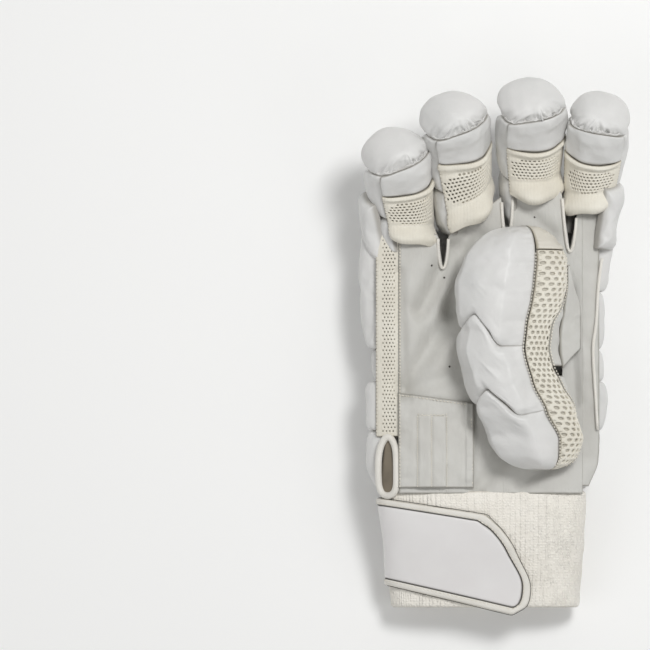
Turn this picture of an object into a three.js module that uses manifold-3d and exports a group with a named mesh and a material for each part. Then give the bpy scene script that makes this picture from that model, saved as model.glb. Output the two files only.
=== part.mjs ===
import * as THREE from 'three';
import { mergeVertices } from 'three/addons/utils/BufferGeometryUtils.js';
import Module from 'manifold-3d';

// A right-hand cricket batting glove that lies on its padded back, palm up. Lengths are
// millimetres: +X points to the thumb side, +Y to the fingertips and +Z out of the palm.
// Shares in the tables are of the named size that the column's comment gives.

const wasm = await Module();
wasm.setup();

// Driving sizes
const handWidth = 136;
const handLength = 146;
const handDepth = 50;
const cavityDepth = 26;
const palmHeight = 50;
const fingerLength = 87;
const fingerWidth = 37;
const fingerDepth = 35;
const thumbWidth = 60;
const thumbLength = 133;
const thumbDepth = 36;
const thumbRise = -1;
const cuffLength = 62;
const cuffDepth = 28;
const strapWidth = 46;
const strapReach = 82;
// The back is pressed flat at this height where it rests.
const restHeight = 4.5;

// Walls and clearances
const gap = 0.3;
const leatherWall = 1.8;
const knitWall = 2;
const towelWall = 3;
const strapWall = 1.8;
const bindingWall = 2.6;
const bindingWidth = 4;
const fingerPad = 11;
const fingerSide = 5.5;
const sidePad = 12;
const thumbPad = 10;
const lipFlare = 4;
const loopWidth = 5;
const pipingRadius = 1.1;

const radians = THREE.MathUtils.degToRad;
const { lerp, clamp, smoothstep } = THREE.MathUtils;
const across = (share) => share * handWidth;
const along = (share) => share * handLength;

const glove = new THREE.Group();

const paint = (color, roughness) => ({ color, roughness, metalness: 0 });
const padLeather = paint('#dadad7', 0.5);
const palmLeatherPaint = paint('#d3d4cf', 0.6);
const knit = paint('#e6e0d2', 0.9);
const towelling = paint('#ddd6cb', 0.95);
const strapPaint = paint('#e5e3e2', 0.45);
const trim = paint('#ece8dd', 0.6);

// Value of a named column at a place, read smoothly between the rows of a table.
function readTable(rows, key, column, place) {
  const last = rows.length - 1;
  if (place <= rows[0][key]) return rows[0][column];
  if (place >= rows[last][key]) return rows[last][column];
  const next = rows.findIndex((row) => row[key] > place);
  const before = rows[next - 1];
  const after = rows[next];
  const share = smoothstep(place, before[key], after[key]);
  const straight = (place - before[key]) / (after[key] - before[key]);
  return lerp(before[column], after[column], (share + straight) / 2);
}

// Height of a pillow over a unit square: 0 at its edges and 1 in the middle.
function pillow(u, v, firmness = 4) {
  const side = 1 - Math.abs(2 * u - 1) ** firmness;
  const end = 1 - Math.abs(2 * v - 1) ** firmness;
  return Math.sqrt(Math.max(0, side * end));
}

// Closed geometry from loose points and triangles, with its faces turned outwards.
function closedGeometry(points, index) {
  let geometry = new THREE.BufferGeometry();
  geometry.setAttribute('position', new THREE.Float32BufferAttribute(points, 3));
  geometry.setIndex(index);
  geometry = mergeVertices(geometry, 0.002);
  const ids = geometry.index.array;
  const spots = geometry.attributes.position.array;
  const kept = [];
  let volume = 0;
  for (let i = 0; i < ids.length; i += 3) {
    const [a, b, c] = [ids[i], ids[i + 1], ids[i + 2]];
    if (a === b || b === c || a === c) continue;
    kept.push(a, b, c);
    const corner = [a, b, c].map((id) => new THREE.Vector3().fromArray(spots, 3 * id));
    volume += corner[0].dot(corner[1].cross(corner[2]));
  }
  if (volume < 0) {
    for (let i = 0; i < kept.length; i += 3) [kept[i], kept[i + 1]] = [kept[i + 1], kept[i]];
  }
  geometry.setIndex(kept);
  return geometry;
}

// A closed solid between two sheets over one grid. Each sheet gives the point at (u, v), both
// from 0 to 1. A ring's u runs all the way round, and a sheet may end in a single point.
function slab(inner, outer, columns, rows, ring = false) {
  const points = [];
  const index = [];
  const stations = ring ? columns : columns + 1;
  const layerSize = stations * (rows + 1);
  const at = (layer, i, j) => layer * layerSize + (ring ? i % columns : i) * (rows + 1) + j;
  const quad = (a, b, c, d) => index.push(a, b, c, a, c, d);
  for (const sheet of [inner, outer]) {
    for (let i = 0; i < stations; i++) {
      for (let j = 0; j <= rows; j++) points.push(...sheet(i / columns, j / rows));
    }
  }
  for (let i = 0; i < columns; i++) {
    for (let j = 0; j < rows; j++) {
      quad(at(0, i, j), at(0, i, j + 1), at(0, i + 1, j + 1), at(0, i + 1, j));
      quad(at(1, i, j), at(1, i + 1, j), at(1, i + 1, j + 1), at(1, i, j + 1));
    }
    quad(at(0, i, 0), at(0, i + 1, 0), at(1, i + 1, 0), at(1, i, 0));
    quad(at(0, i, rows), at(1, i, rows), at(1, i + 1, rows), at(0, i + 1, rows));
  }
  for (let j = 0; j < rows && !ring; j++) {
    quad(at(0, 0, j), at(1, 0, j), at(1, 0, j + 1), at(0, 0, j + 1));
    quad(at(0, columns, j), at(0, columns, j + 1), at(1, columns, j + 1), at(1, columns, j));
  }
  return closedGeometry(points, index);
}

function tube(points, radius, steps, closed = false, sides = 6) {
  const section = new THREE.Shape(new THREE.EllipseCurve(0, 0, radius, radius).getPoints(sides));
  const path = new THREE.CatmullRomCurve3(points, closed);
  const geometry = new THREE.ExtrudeGeometry(section, { steps, extrudePath: path });
  geometry.deleteAttribute('normal');
  geometry.deleteAttribute('uv');
  return mergeVertices(geometry, 0.002);
}

function toSolid(geometry) {
  const bare = geometry.clone();
  bare.deleteAttribute('normal');
  bare.deleteAttribute('uv');
  const merged = mergeVertices(bare, 0.002);
  return new wasm.Manifold(new wasm.Mesh({
    numProp: 3,
    vertProperties: new Float32Array(merged.attributes.position.array),
    triVerts: new Uint32Array(merged.index.array),
  }));
}

function fromSolid(solid) {
  const mesh = solid.getMesh();
  const geometry = new THREE.BufferGeometry();
  geometry.setAttribute('position', new THREE.Float32BufferAttribute(mesh.vertProperties, 3));
  geometry.setIndex(Array.from(mesh.triVerts));
  return geometry;
}

// The geometry less the room that its neighbours take.
function cutBy(geometry, ...blockers) {
  let solid = toSolid(geometry);
  for (const blocker of blockers) solid = solid.subtract(toSolid(blocker));
  return fromSolid(solid);
}

function addPiece(name, geometry, material) {
  const piece = new THREE.Mesh(geometry, new THREE.MeshStandardMaterial(material));
  piece.geometry.computeVertexNormals();
  piece.name = name;
  glove.add(piece);
}

// Direction share on a rounded-square section: exponent 2 is an ellipse, more is squarer.
function roundedSquare(angle, exponent) {
  const round = (value) => Math.sign(value) * Math.abs(value) ** (2 / exponent);
  return { side: round(Math.sin(angle)), up: round(Math.cos(angle)) };
}

// Fingers. x and y place the knuckle in shares of the hand's width and length, length and
// width are shares of fingerLength and fingerWidth, and lean, curl and roll are degrees. The
// knitted panel begins at meshLeft on the finger's left side and at meshRight on its right, as
// shares of its tube. An outer finger's knuckle pad runs from padFrom to padTo of the tube, and
// from padHigh to padLow degrees from the palm side, and lies over padOver of the finger's wall.
const fingers = [
  { name: 'little', x: -0.335, y: 0.365, lean: 7, length: 0.8, width: 1, curl: 65, roll: 32,
    meshLeft: 0.2, meshRight: 0, padFrom: -0.08, padHigh: 84, padLow: 130, padTo: 0.4, padOver: 1 },
  { name: 'ring', x: -0.1, y: 0.43, lean: 7, length: 0.94, width: 1, curl: 66, roll: 28,
    meshLeft: 0.04, meshRight: 0.32 },
  { name: 'middle', x: 0.148, y: 0.45, lean: 0, length: 1, width: 1, curl: 68, roll: 22,
    meshLeft: 0.3, meshRight: 0.3 },
  { name: 'index', x: 0.362, y: 0.42, lean: -5, length: 0.94, width: 0.92, curl: 64, roll: -10,
    meshLeft: 0.2, meshRight: 0.36, padFrom: -0.12, padHigh: 40, padLow: 97, padTo: 0.34, padOver: 0 },
];
// Finger sections: along is the share of the straight tube, width and depth are shares of the
// finger's outer size there.
const fingerSections = [
  { along: 0, width: 0.76, depth: 1.12 },
  { along: 0.35, width: 0.86, depth: 1.04 },
  { along: 0.75, width: 0.97, depth: 1 },
  { along: 1, width: 1, depth: 0.97 },
];
const startPitch = radians(5);
const fingerSquareness = 2.3;
const domeLength = 17;
const poleWall = 9;
const palmEdgeAngle = radians(80);
const wrapStart = 0.76;
const baseRollEnd = 0.42;
const capPalm = 1.46;
const capBack = 0.8;
const gatherDepth = 0.1;
const capGathers = 10;
// Shares of the full wall: at a pad's seams, at the cap's seam and on the cap's crown.
const padEdge = 0.6;
const capEdge = 0.68;
const capCrown = 1.1;
// Share of the wall that the panel's lip adds for each millimetre of lipFlare.
const lipShare = 0.3;
// Clearances between a finger's pieces, in gaps, along it and round it.
const seamSpread = 2.6;
const capSeam = 1.6;
const turnSpread = 5.5;
// Columns of facets round the palm side and the back of a finger, one for each 20 degrees.
const palmColumns = 8;
const backColumns = 10;
const meshRows = 4;

const fingerBaseHeight = palmHeight - leatherWall - (fingerDepth - leatherWall - fingerPad) / 2;

// Where a finger's knitted panel begins at an angle from its palm side.
function meshFrom(finger, angle) {
  const turn = Math.atan2(Math.sin(angle), Math.cos(angle));
  const share = clamp((turn + palmEdgeAngle) / (2 * palmEdgeAngle), 0, 1);
  return lerp(finger.meshLeft, finger.meshRight, share);
}

// Wall of a finger at an angle from its palm side: thin leather, then side bar, then back pad.
function fingerWall(angle) {
  const turn = Math.acos(Math.cos(angle));
  const sideShare = smoothstep(turn, radians(35), radians(90));
  const backShare = smoothstep(turn, radians(95), radians(165));
  return lerp(lerp(leatherWall, fingerSide, sideShare), fingerPad, backShare);
}

// The point on a finger at `place` (0 to 1 along the tube, 1 to 2 over the fingertip's dome),
// at an angle from the palm side, `lift` outside its cavity.
function fingerPoint(finger, place, angle, lift) {
  const length = fingerLength * finger.length;
  const curl = radians(finger.curl) - startPitch;
  const straight = Math.min(place, 1);
  const dome = Math.max(0, place - 1) * Math.PI / 2;
  const poleLift = lift > 0 ? poleWall : 0;
  const domeReach = domeLength - 0.6 * (fingerPad - lerp(lift, poleLift, Math.sin(dome)));
  const travel = straight * (length - domeLength) + domeReach * Math.sin(dome);
  const pitch = startPitch + curl * travel / length;
  const bend = length / curl;
  const forward = bend * (Math.sin(pitch) - Math.sin(startPitch));
  const rise = bend * (Math.cos(startPitch) - Math.cos(pitch));
  const lean = radians(finger.lean);
  const heading = new THREE.Vector3(-Math.sin(lean), Math.cos(lean), 0);
  const sideways = new THREE.Vector3(Math.cos(lean), Math.sin(lean), 0);
  const palmward = heading.clone().multiplyScalar(-Math.sin(pitch));
  palmward.z = Math.cos(pitch);
  const centre = new THREE.Vector3(across(finger.x), along(finger.y), fingerBaseHeight);
  centre.addScaledVector(heading, forward);
  centre.z += rise;
  const widthShare = readTable(fingerSections, 'along', 'width', straight);
  const depthShare = readTable(fingerSections, 'along', 'depth', straight);
  const halfWidth = fingerWidth * finger.width * widthShare / 2 - fingerSide;
  const halfDepth = (fingerDepth * depthShare - leatherWall - fingerPad) / 2;
  const close = dome < Math.PI / 2 ? Math.cos(dome) ** 0.85 : 0;
  const turned = angle + radians(finger.roll);
  const { side, up } = roundedSquare(turned, fingerSquareness);
  const reachSide = (halfWidth * side + lift * Math.sin(turned)) * close;
  const reachUp = (halfDepth * up + lift * Math.cos(turned)) * close;
  return centre.addScaledVector(sideways, reachSide).addScaledVector(palmward, reachUp);
}

// Where the cap begins at an angle: over the fingertip on the palm side, lower on the back.
const capStart = (angle) => lerp(capPalm, capBack, (1 - Math.cos(angle)) / 2);

// A finger's piece between two angles, whose ends are functions of the angle. `swell` gives
// the share of the full wall at (u, v) of the piece.
function fingerPiece(finger, angles, from, to, swell, columns, rows) {
  const ring = angles[1] - angles[0] > 6.28;
  const sheet = (thick) => (u, v) => {
    const angle = lerp(angles[0], angles[1], u);
    const place = lerp(from(angle), to(angle), v);
    return fingerPoint(finger, place, angle, thick ? fingerWall(angle) * swell(u, v) : 0);
  };
  return slab(sheet(false), sheet(true), columns, rows, ring);
}

// The room that a finger takes from its knuckle on, or only from its knitted panel on, with the
// clearance round it. The panel's lip stands out by lipFlare.
const roomSwell = 1.16;
const lipReach = 0.25;
const roomRows = 8;

function fingerRoom(finger, fromMesh = false) {
  const placeAt = (angle, v) => lerp(fromMesh ? meshFrom(finger, angle) - 0.02 : -0.04, 2, v);
  const angleAt = (u) => lerp(-Math.PI, Math.PI, u);
  const middle = (u, v) => {
    const place = placeAt(angleAt(u), v);
    return fingerPoint(finger, place, 0, 0).lerp(fingerPoint(finger, place, Math.PI, 0), 0.5);
  };
  const skin = (u, v) => {
    const angle = angleAt(u);
    const place = placeAt(angle, v);
    const nearLip = roomSwell * Math.max(0, 1 - Math.abs(place - meshFrom(finger, angle)) / lipReach);
    const onPalmSide = (1 + Math.cos(angle)) / 2;
    const lift = fingerWall(angle) * roomSwell + 2 * gap + nearLip * onPalmSide * lipFlare;
    return fingerPoint(finger, place, angle, lift);
  };
  return slab(middle, skin, palmColumns + backColumns, roomRows, true);
}

// A padded bar on the outer side of a finger's knuckle, from the palm leather to the knitted
// panel. swell is its stuffing over wallShare of the finger's wall.
const knucklePad = { swell: 5, base: 0.35, wallShare: 0.55 };

function knuckleSolid(finger, extra = 0) {
  const direction = Math.sign(finger.x);
  const spare = extra / fingerLength;
  const sheet = (thick) => (u, v) => {
    const angle = direction * lerp(radians(finger.padHigh) - 4 * spare, radians(finger.padLow) + 4 * spare, u);
    const place = lerp(finger.padFrom - 2 * spare, finger.padTo + spare, v);
    const stuffed = knucklePad.swell * lerp(knucklePad.base, 1, pillow(u, v, 3));
    const under = finger.padOver * (fingerWall(angle) + gap);
    const lift = Math.max(knucklePad.wallShare * fingerWall(angle), under) + stuffed;
    return fingerPoint(finger, place, angle, thick ? lift + extra : under - extra);
  };
  return slab(sheet(false), sheet(true), 5, 5);
}

// The room that a finger's base roll takes, with the clearance round it.
function rollRoom(finger) {
  const edge = palmEdgeAngle - 3 * gap / fingerWidth;
  const sheet = (thick) => (u, v) => {
    const angle = lerp(edge, 2 * Math.PI - edge, u);
    const lift = thick ? fingerWall(angle) * roomSwell + 2 * gap : -2 * gap;
    return fingerPoint(finger, lerp(-0.03, baseRollEnd, v), angle, lift);
  };
  return slab(sheet(false), sheet(true), backColumns, 4);
}

// The room that a knuckle pad takes, with the clearance round it.
const knuckleRoom = (finger) => knuckleSolid(finger, 2 * gap);

function buildKnucklePad(finger) {
  addPiece(`${finger.name}_knuckle_pad`, knuckleSolid(finger), padLeather);
}

function buildFinger(finger, blockers) {
  const tubeLength = fingerLength * finger.length - domeLength;
  const seam = seamSpread * gap / tubeLength;
  const turn = turnSpread * gap / fingerWidth;
  const palmSide = [-palmEdgeAngle, palmEdgeAngle];
  const backSide = [palmEdgeAngle + turn, 2 * Math.PI - palmEdgeAngle - turn];
  const constant = (value) => () => value;
  const firm = (u, v) => lerp(padEdge, 1, pillow(u, v));
  const gathers = (u, v) => 1 + gatherDepth * Math.cos(2 * Math.PI * capGathers * u) * Math.max(0, 1 - 3 * v);
  const capSwell = (u, v) => gathers(u, v) * lerp(capEdge, capCrown, Math.min(1, 3 * v) ** 0.5);
  const add = (part, geometry, material) => {
    addPiece(`${finger.name}_${part}`, blockers.length ? cutBy(geometry, ...blockers) : geometry, material);
  };
  const cap = fingerPiece(finger, [0, 2 * Math.PI], capStart, constant(2), capSwell,
    palmColumns + backColumns, 5);
  add('tip_cap', cap, padLeather);
  const wrap = fingerPiece(finger, palmSide, constant(wrapStart), (angle) => capStart(angle) - seam,
    (u, v) => lerp(0.85, 1.15, pillow(u, v, 2)), palmColumns, 3);
  add('palm_wrap', wrap, padLeather);
  const lip = (u, v) => 1 + lipShare * lipFlare * Math.max(0, 1 - 4 * v) * Math.cos((u - 0.5) * 2.6);
  const mesh = fingerPiece(finger, palmSide, (angle) => meshFrom(finger, angle), constant(wrapStart - seam),
    lip, palmColumns, meshRows);
  add('mesh', mesh, knit);
  const capFoot = (angle) => capStart(angle) - capSeam * seam;
  const midRoll = fingerPiece(finger, backSide, constant(baseRollEnd), capFoot, firm, backColumns, 3);
  add('mid_roll', midRoll, padLeather);
  const baseRoll = fingerPiece(finger, backSide, constant(0), constant(baseRollEnd - seam),
    firm, backColumns, 3);
  add('base_roll', baseRoll, padLeather);
}

// Hand sections: along is the share of handLength, left and right of handWidth, and back is
// the share of handDepth that the back padding hangs below the cavity.
const handSections = [
  { along: -0.548, left: -0.462, right: 0.362, back: 0.24 },
  { along: -0.43, left: -0.5, right: 0.41, back: 0.34 },
  { along: -0.2, left: -0.5, right: 0.44, back: 0.44 },
  { along: 0, left: -0.51, right: 0.435, back: 0.46 },
  { along: 0.2, left: -0.53, right: 0.44, back: 0.44 },
  { along: 0.45, left: -0.53, right: 0.47, back: 0.36 },
];
const cavityMiddle = palmHeight - leatherWall - cavityDepth / 2;
const palmLeft = -0.393;
const palmRight = 0.346;
const meshLeft = -0.482;
const panelRight = 0.414;
// The palm's hollow: its middle and reach in shares of the hand's width and length.
const cup = { depth: 5, x: 0.02, y: 0.12, wide: 0.26, long: 0.34 };

const handLeft = (y) => across(readTable(handSections, 'along', 'left', y / handLength));
const handRight = (y) => across(readTable(handSections, 'along', 'right', y / handLength));

// The outer edges of the side mesh and of the side panel, which stay inside the hand's outline.
const palmSheetsLeft = (y) => Math.max(across(meshLeft), handLeft(y));
const palmSheetsRight = (y) => Math.min(across(panelRight), handRight(y));

// Height of the palm's outer skin: a shallow cup that rolls off towards both sides.
function palmSkin(x, y) {
  const left = handLeft(y) - 2;
  const right = handRight(y) + 3;
  const middle = (left + right) / 2;
  const reach = clamp(Math.abs(x - middle) / ((right - left) / 2), 0, 0.985);
  const roll = (1 - reach ** 5) ** 0.5;
  const fromCup = ((x - across(cup.x)) / across(cup.wide)) ** 2 + ((y - along(cup.y)) / along(cup.long)) ** 2;
  return palmHeight - cavityDepth / 2 * (1 - roll) - cup.depth * Math.exp(-fromCup);
}

// A sheet of the palm between two edges across and two along, which may depend on each other.
function palmSheet(xAt, yAt, wall, lift, columns, rows) {
  const sheet = (height) => (u, v) => {
    const x = xAt(u, v);
    const y = yAt(u, v);
    return new THREE.Vector3(x, y, palmSkin(x, y) + lift + height);
  };
  return slab(sheet(-wall), sheet(0), columns, rows);
}

// Top edge of the palm leather from the little finger to the index, with a notch at each slit
// between fingers. x and y are shares of the hand's width and length.
const palmEdge = [
  { x: -0.393, y: 0.44 },
  { x: -0.235, y: 0.42 },
  { x: -0.212, y: 0.3 },
  { x: -0.188, y: 0.42 },
  { x: -0.1, y: 0.48 },
  { x: 0.02, y: 0.56 },
  { x: 0.045, y: 0.4 },
  { x: 0.07, y: 0.58 },
  { x: 0.16, y: 0.61 },
  { x: 0.262, y: 0.58 },
  { x: 0.295, y: 0.36 },
  { x: 0.325, y: 0.5 },
  { x: 0.346, y: 0.5 },
];
const heelEnd = -0.548;
const thumbHole = { left: 0.1, right: 0.33, top: -0.1, bottom: -0.43, corner: 9 };
// The heel patch, in shares of the hand's width and length. Its top edge slopes.
const heelPatch = { left: -0.392, right: -0.09, bottom: -0.526, topLeft: -0.17, topRight: -0.211 };
// Ends of the side mesh and of the side panel, in shares of the hand's length.
const meshEnd = -0.31;
const meshTop = 0.5;
const panelEnds = [-0.52, 0.62];

function roundedPrism({ left, right, top, bottom, corner }, low, high) {
  const [x0, x1] = [across(left), across(right)];
  const [y0, y1] = [along(bottom), along(top)];
  const outline = new THREE.Shape();
  outline.moveTo(x0 + corner, y0);
  outline.lineTo(x1 - corner, y0);
  outline.absarc(x1 - corner, y0 + corner, corner, -Math.PI / 2, 0);
  outline.absarc(x1 - corner, y1 - corner, corner, 0, Math.PI / 2);
  outline.absarc(x0 + corner, y1 - corner, corner, Math.PI / 2, Math.PI);
  outline.absarc(x0 + corner, y0 + corner, corner, Math.PI, 1.5 * Math.PI);
  const options = { depth: high - low, bevelEnabled: false, curveSegments: 4 };
  const prism = new THREE.ExtrudeGeometry(outline, options);
  return prism.translate(0, 0, low);
}

function buildPalm() {
  const steps = palmEdge.length - 1;
  const edgeAt = (u, column) => {
    const place = u * steps;
    const step = Math.min(Math.floor(place), steps - 1);
    return lerp(palmEdge[step][column], palmEdge[step + 1][column], place - step);
  };
  const xAt = (u) => across(edgeAt(u, 'x'));
  const yAt = (u, v) => lerp(along(heelEnd), along(edgeAt(u, 'y')), v);
  const palm = palmSheet(xAt, yAt, leatherWall, 0, steps, 6);
  const rooms = fingers.map((finger) => fingerRoom(finger, true));
  rooms.push(...fingers.map(rollRoom), knuckleRoom(fingers[0]), knuckleRoom(fingers[3]));
  addPiece('palm_leather', cutBy(palm, roundedPrism(thumbHole, 0, 2 * palmHeight), ...rooms), palmLeatherPaint);

  const heelTop = (u) => along(lerp(heelPatch.topLeft, heelPatch.topRight, u));
  const heelX = (u) => across(lerp(heelPatch.left, heelPatch.right, u));
  const heelY = (u, v) => lerp(along(heelPatch.bottom), heelTop(u), v);
  const heel = palmSheet(heelX, heelY, leatherWall, leatherWall + gap, 5, 3);
  addPiece('heel_patch', heel, palmLeatherPaint);

  const seam = gap / handWidth;
  const strip = palmSheet((u) => across(lerp(meshLeft, palmLeft - seam, u)),
    (u, v) => along(lerp(meshEnd, meshTop, v)), knitWall, 0, 2, 12);
  addPiece('side_mesh', cutBy(strip, fingerRoom(fingers[0]), knuckleRoom(fingers[0])), knit);
  const panelY = (v) => along(lerp(...panelEnds, v));
  const panel = palmSheet((u, v) => lerp(across(palmRight + seam), palmSheetsRight(panelY(v)), u),
    (u, v) => panelY(v), leatherWall, 0, 2, 12);
  addPiece('side_panel', cutBy(panel, fingerRoom(fingers[3]), knuckleRoom(fingers[3])), palmLeatherPaint);
}

// Padded rows across the back. from and to are shares of handLength, swell is the share of
// the full padding, and left and right shift the row's ends by shares of handWidth.
const sideBarStart = -0.6;
// The side bar's inside lies at this share of the wall.
const sideBarInside = 0.25;
const backRows = [
  { name: 'back_roll_1', from: 0.205, to: 0.4, swell: 1, left: 0, right: 0.01, start: sideBarStart },
  { name: 'back_roll_2', from: -0.011, to: 0.205, swell: 1, left: 0, right: 0, start: sideBarStart },
  { name: 'back_roll_3', from: -0.13, to: -0.011, swell: 0.9, left: 0.008, right: 0, start: -1 },
  { name: 'back_roll_4', from: -0.314, to: -0.13, swell: 1, left: -0.022, right: 0.01, start: -1 },
  { name: 'back_roll_5', from: -0.53, to: -0.314, swell: 0.96, left: -0.02, right: 0, start: -1 },
];
// The back's grooves lie this far apart in turn, and its facets this far. grooveDepth is a share
// of the wall, and the top row's far edge bows out by rowTopBow of handLength.
const columnTurn = 0.4;
const facetTurn = 0.1;
const grooveDepth = 0.24;
const rowTopBow = 0.05;
const rowEdge = 0.72;
const backSquareness = 2.6;
const backHalfTurn = radians(118);

// A point round the hand's back and sides. turn runs from -1 (left top edge) through 0 (the
// middle of the back) to 1 (right top edge); lift 0 is the cavity and 1 the outside.
function backPoint(turn, y, lift, swell = 1, leftShift = 0, rightShift = 0) {
  const leftEdge = palmSheetsLeft(y) - gap;
  const rightEdge = palmSheetsRight(y) + gap;
  const out = { left: handLeft(y) + across(leftShift), right: handRight(y) + across(rightShift) };
  const { side, up } = roundedSquare(Math.PI + turn * backHalfTurn, backSquareness);
  const middle = (leftEdge + rightEdge) / 2;
  const innerHalf = (rightEdge - leftEdge) / 2 - sidePad * 0.45;
  const inner = new THREE.Vector3(middle - side * innerHalf, y, cavityMiddle + up * cavityDepth / 2);
  const outerHalf = (out.right - out.left) / 2;
  const hang = handDepth * readTable(handSections, 'along', 'back', y / handLength) * swell;
  const bottom = cavityDepth / 2 + hang;
  const outerUp = up > 0 ? up * cavityDepth / 2 : up * bottom;
  const outer = new THREE.Vector3((out.left + out.right) / 2 - side * outerHalf, y, cavityMiddle + outerUp);
  return inner.lerp(outer, lift);
}

function buildBack() {
  const seam = gap / handLength;
  for (const row of backRows) {
    const sheet = (thick) => (u, v) => {
      const turn = lerp(row.start, 1, u);
      const bow = row.to > 0.3 ? rowTopBow * Math.cos(turn * 1.6) : 0;
      const y = along(lerp(row.from, row.to - seam + bow, v));
      const groove = Math.abs(Math.cos(Math.PI * turn / columnTurn)) ** 8;
      const onBack = Math.abs(turn) < 0.7 ? 1 : 0;
      const lift = lerp(rowEdge, 1, pillow(u, v)) - grooveDepth * groove * onBack;
      const point = backPoint(turn, y, thick ? lift : 0, row.swell, row.left, row.right);
      point.z = Math.max(point.z, restHeight);
      return point;
    };
    const roll = slab(sheet(false), sheet(true), Math.round((1 - row.start) / facetTurn), 4);
    const rooms = row.to > 0.3 ? fingers.map((finger) => fingerRoom(finger)) : [];
    if (rooms.length) rooms.push(knuckleRoom(fingers[3]));
    addPiece(row.name, rooms.length ? cutBy(roll, ...rooms) : roll, padLeather);
  }
  const littleBar = sideBar(-1, sideBarStart - 0.012, -0.009, 0.44, 1.06);
  addPiece('little_side_pad', cutBy(littleBar, fingerRoom(fingers[0]), knuckleRoom(fingers[0])), padLeather);
}

// A padded bar on one side of the hand, between two turns and two shares of its length.
function sideBar(topTurn, lowTurn, from, to, swell) {
  const sheet = (thick) => (u, v) => {
    const lift = swell * lerp(padEdge, 1, pillow(u, v, 3));
    return backPoint(lerp(topTurn, lowTurn, u), along(lerp(from, to, v)), thick ? lift : sideBarInside);
  };
  return slab(sheet(false), sheet(true), 6, 7);
}

// Thumb sections: along is the share of thumbLength from the heel, left and right are shares of
// thumbWidth from the thumb's line, and high is the share of thumbDepth above its underside.
const thumbSections = [
  { along: 0, left: -0.06, right: 0.55, high: 0.7 },
  { along: 0.13, left: -0.2, right: 0.65, high: 0.82 },
  { along: 0.24, left: -0.3, right: 0.58, high: 0.94 },
  { along: 0.36, left: -0.4, right: 0.48, high: 0.97 },
  { along: 0.49, left: -0.48, right: 0.43, high: 0.98 },
  { along: 0.57, left: -0.465, right: 0.43, high: 0.98 },
  { along: 0.66, left: -0.5, right: 0.47, high: 1 },
  { along: 0.76, left: -0.5, right: 0.5, high: 1 },
  { along: 0.86, left: -0.43, right: 0.5, high: 0.94 },
  { along: 0.94, left: -0.33, right: 0.44, high: 0.86 },
];
// The knitted panel's edges round the thumb, in degrees from its top.
const thumbMeshEdges = [
  { along: 0.02, left: 24, right: 88 },
  { along: 0.13, left: 20, right: 102 },
  { along: 0.24, left: 13, right: 98 },
  { along: 0.33, left: 10, right: 64 },
  { along: 0.42, left: 8, right: 46 },
  { along: 0.5, left: 8, right: 44 },
  { along: 0.6, left: 10, right: 50 },
  { along: 0.69, left: 14, right: 74 },
  { along: 0.77, left: 15, right: 96 },
  { along: 0.95, left: 14, right: 96 },
];
// Zigzag seams between the thumb's pads: angle is degrees from the top, and upper and lower
// are shares of thumbLength.
const thumbZigzag = [
  { angle: -128, upper: 0.57, lower: 0.25 },
  { angle: -88, upper: 0.575, lower: 0.26 },
  { angle: -46, upper: 0.635, lower: 0.33 },
  { angle: -19, upper: 0.5, lower: 0.215 },
  { angle: 40, upper: 0.505, lower: 0.27 },
];
const thumbLine = 0.059;
const thumbHeel = -0.463;
const thumbUnder = radians(-128);
const thumbTipDome = 0.1;
const thumbHeelDome = 0.06;
const thumbSquareness = 2.4;

function readZigzag(column, angle) {
  const degrees = THREE.MathUtils.radToDeg(angle);
  const next = thumbZigzag.findIndex((row) => row.angle > degrees);
  const step = next < 0 ? thumbZigzag.length - 1 : Math.max(next, 1);
  const [before, after] = [thumbZigzag[step - 1], thumbZigzag[step]];
  return THREE.MathUtils.mapLinear(degrees, before.angle, after.angle, before[column], after[column]);
}

const thumbEdge = (side, place) => radians(readTable(thumbMeshEdges, 'along', side, place));

// Wall of the thumb at an angle from its top: padded over the top and left, thin elsewhere.
function thumbWall(angle, place) {
  const fromMesh = thumbEdge('left', place) - angle;
  const overPad = smoothstep(fromMesh, 0, radians(40)) * (1 - smoothstep(fromMesh, radians(110), radians(170)));
  return lerp(knitWall, thumbPad, overPad);
}

// The point on the thumb at a share of its length, with a dome at both ends, at an angle from
// its top, `lift` outside its cavity.
function thumbPoint(place, angle, lift) {
  const intoTip = clamp((place - (1 - thumbTipDome)) / thumbTipDome, 0, 1);
  const intoHeel = clamp((thumbHeelDome - place) / thumbHeelDome, 0, 1);
  const close = Math.sqrt(Math.max(0, 1 - Math.max(intoTip, intoHeel) ** 2));
  const left = readTable(thumbSections, 'along', 'left', place) * thumbWidth + thumbPad;
  const right = readTable(thumbSections, 'along', 'right', place) * thumbWidth - knitWall;
  const high = readTable(thumbSections, 'along', 'high', place) * thumbDepth - thumbPad;
  const { side, up } = roundedSquare(angle, thumbSquareness);
  const middle = (left + right) / 2;
  const halfDepth = (high - knitWall) / 2;
  return new THREE.Vector3(
    across(thumbLine) + middle + ((right - left) / 2 * side + lift * Math.sin(angle)) * close,
    along(thumbHeel) + thumbLength * place,
    palmHeight + thumbRise + knitWall + halfDepth + (halfDepth * up + lift * Math.cos(angle)) * close,
  );
}

// A piece of the thumb. Its edges round the thumb may depend on the place, and its ends on
// the angle, so each point is placed in two steps. `swell` gives the share of the full wall.
function thumbPiece(leftEdge, rightEdge, from, to, swell, columns, rows) {
  const sheet = (thick) => (u, v) => {
    const middle = (from(0) + to(0)) / 2;
    const roughAngle = lerp(leftEdge(middle), rightEdge(middle), u);
    const roughPlace = lerp(from(roughAngle), to(roughAngle), v);
    const angle = lerp(leftEdge(roughPlace), rightEdge(roughPlace), u);
    const place = lerp(from(angle), to(angle), v);
    return thumbPoint(place, angle, thick ? thumbWall(angle, place) * swell(u, v) : 0);
  };
  return slab(sheet(false), sheet(true), columns, rows);
}

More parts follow.
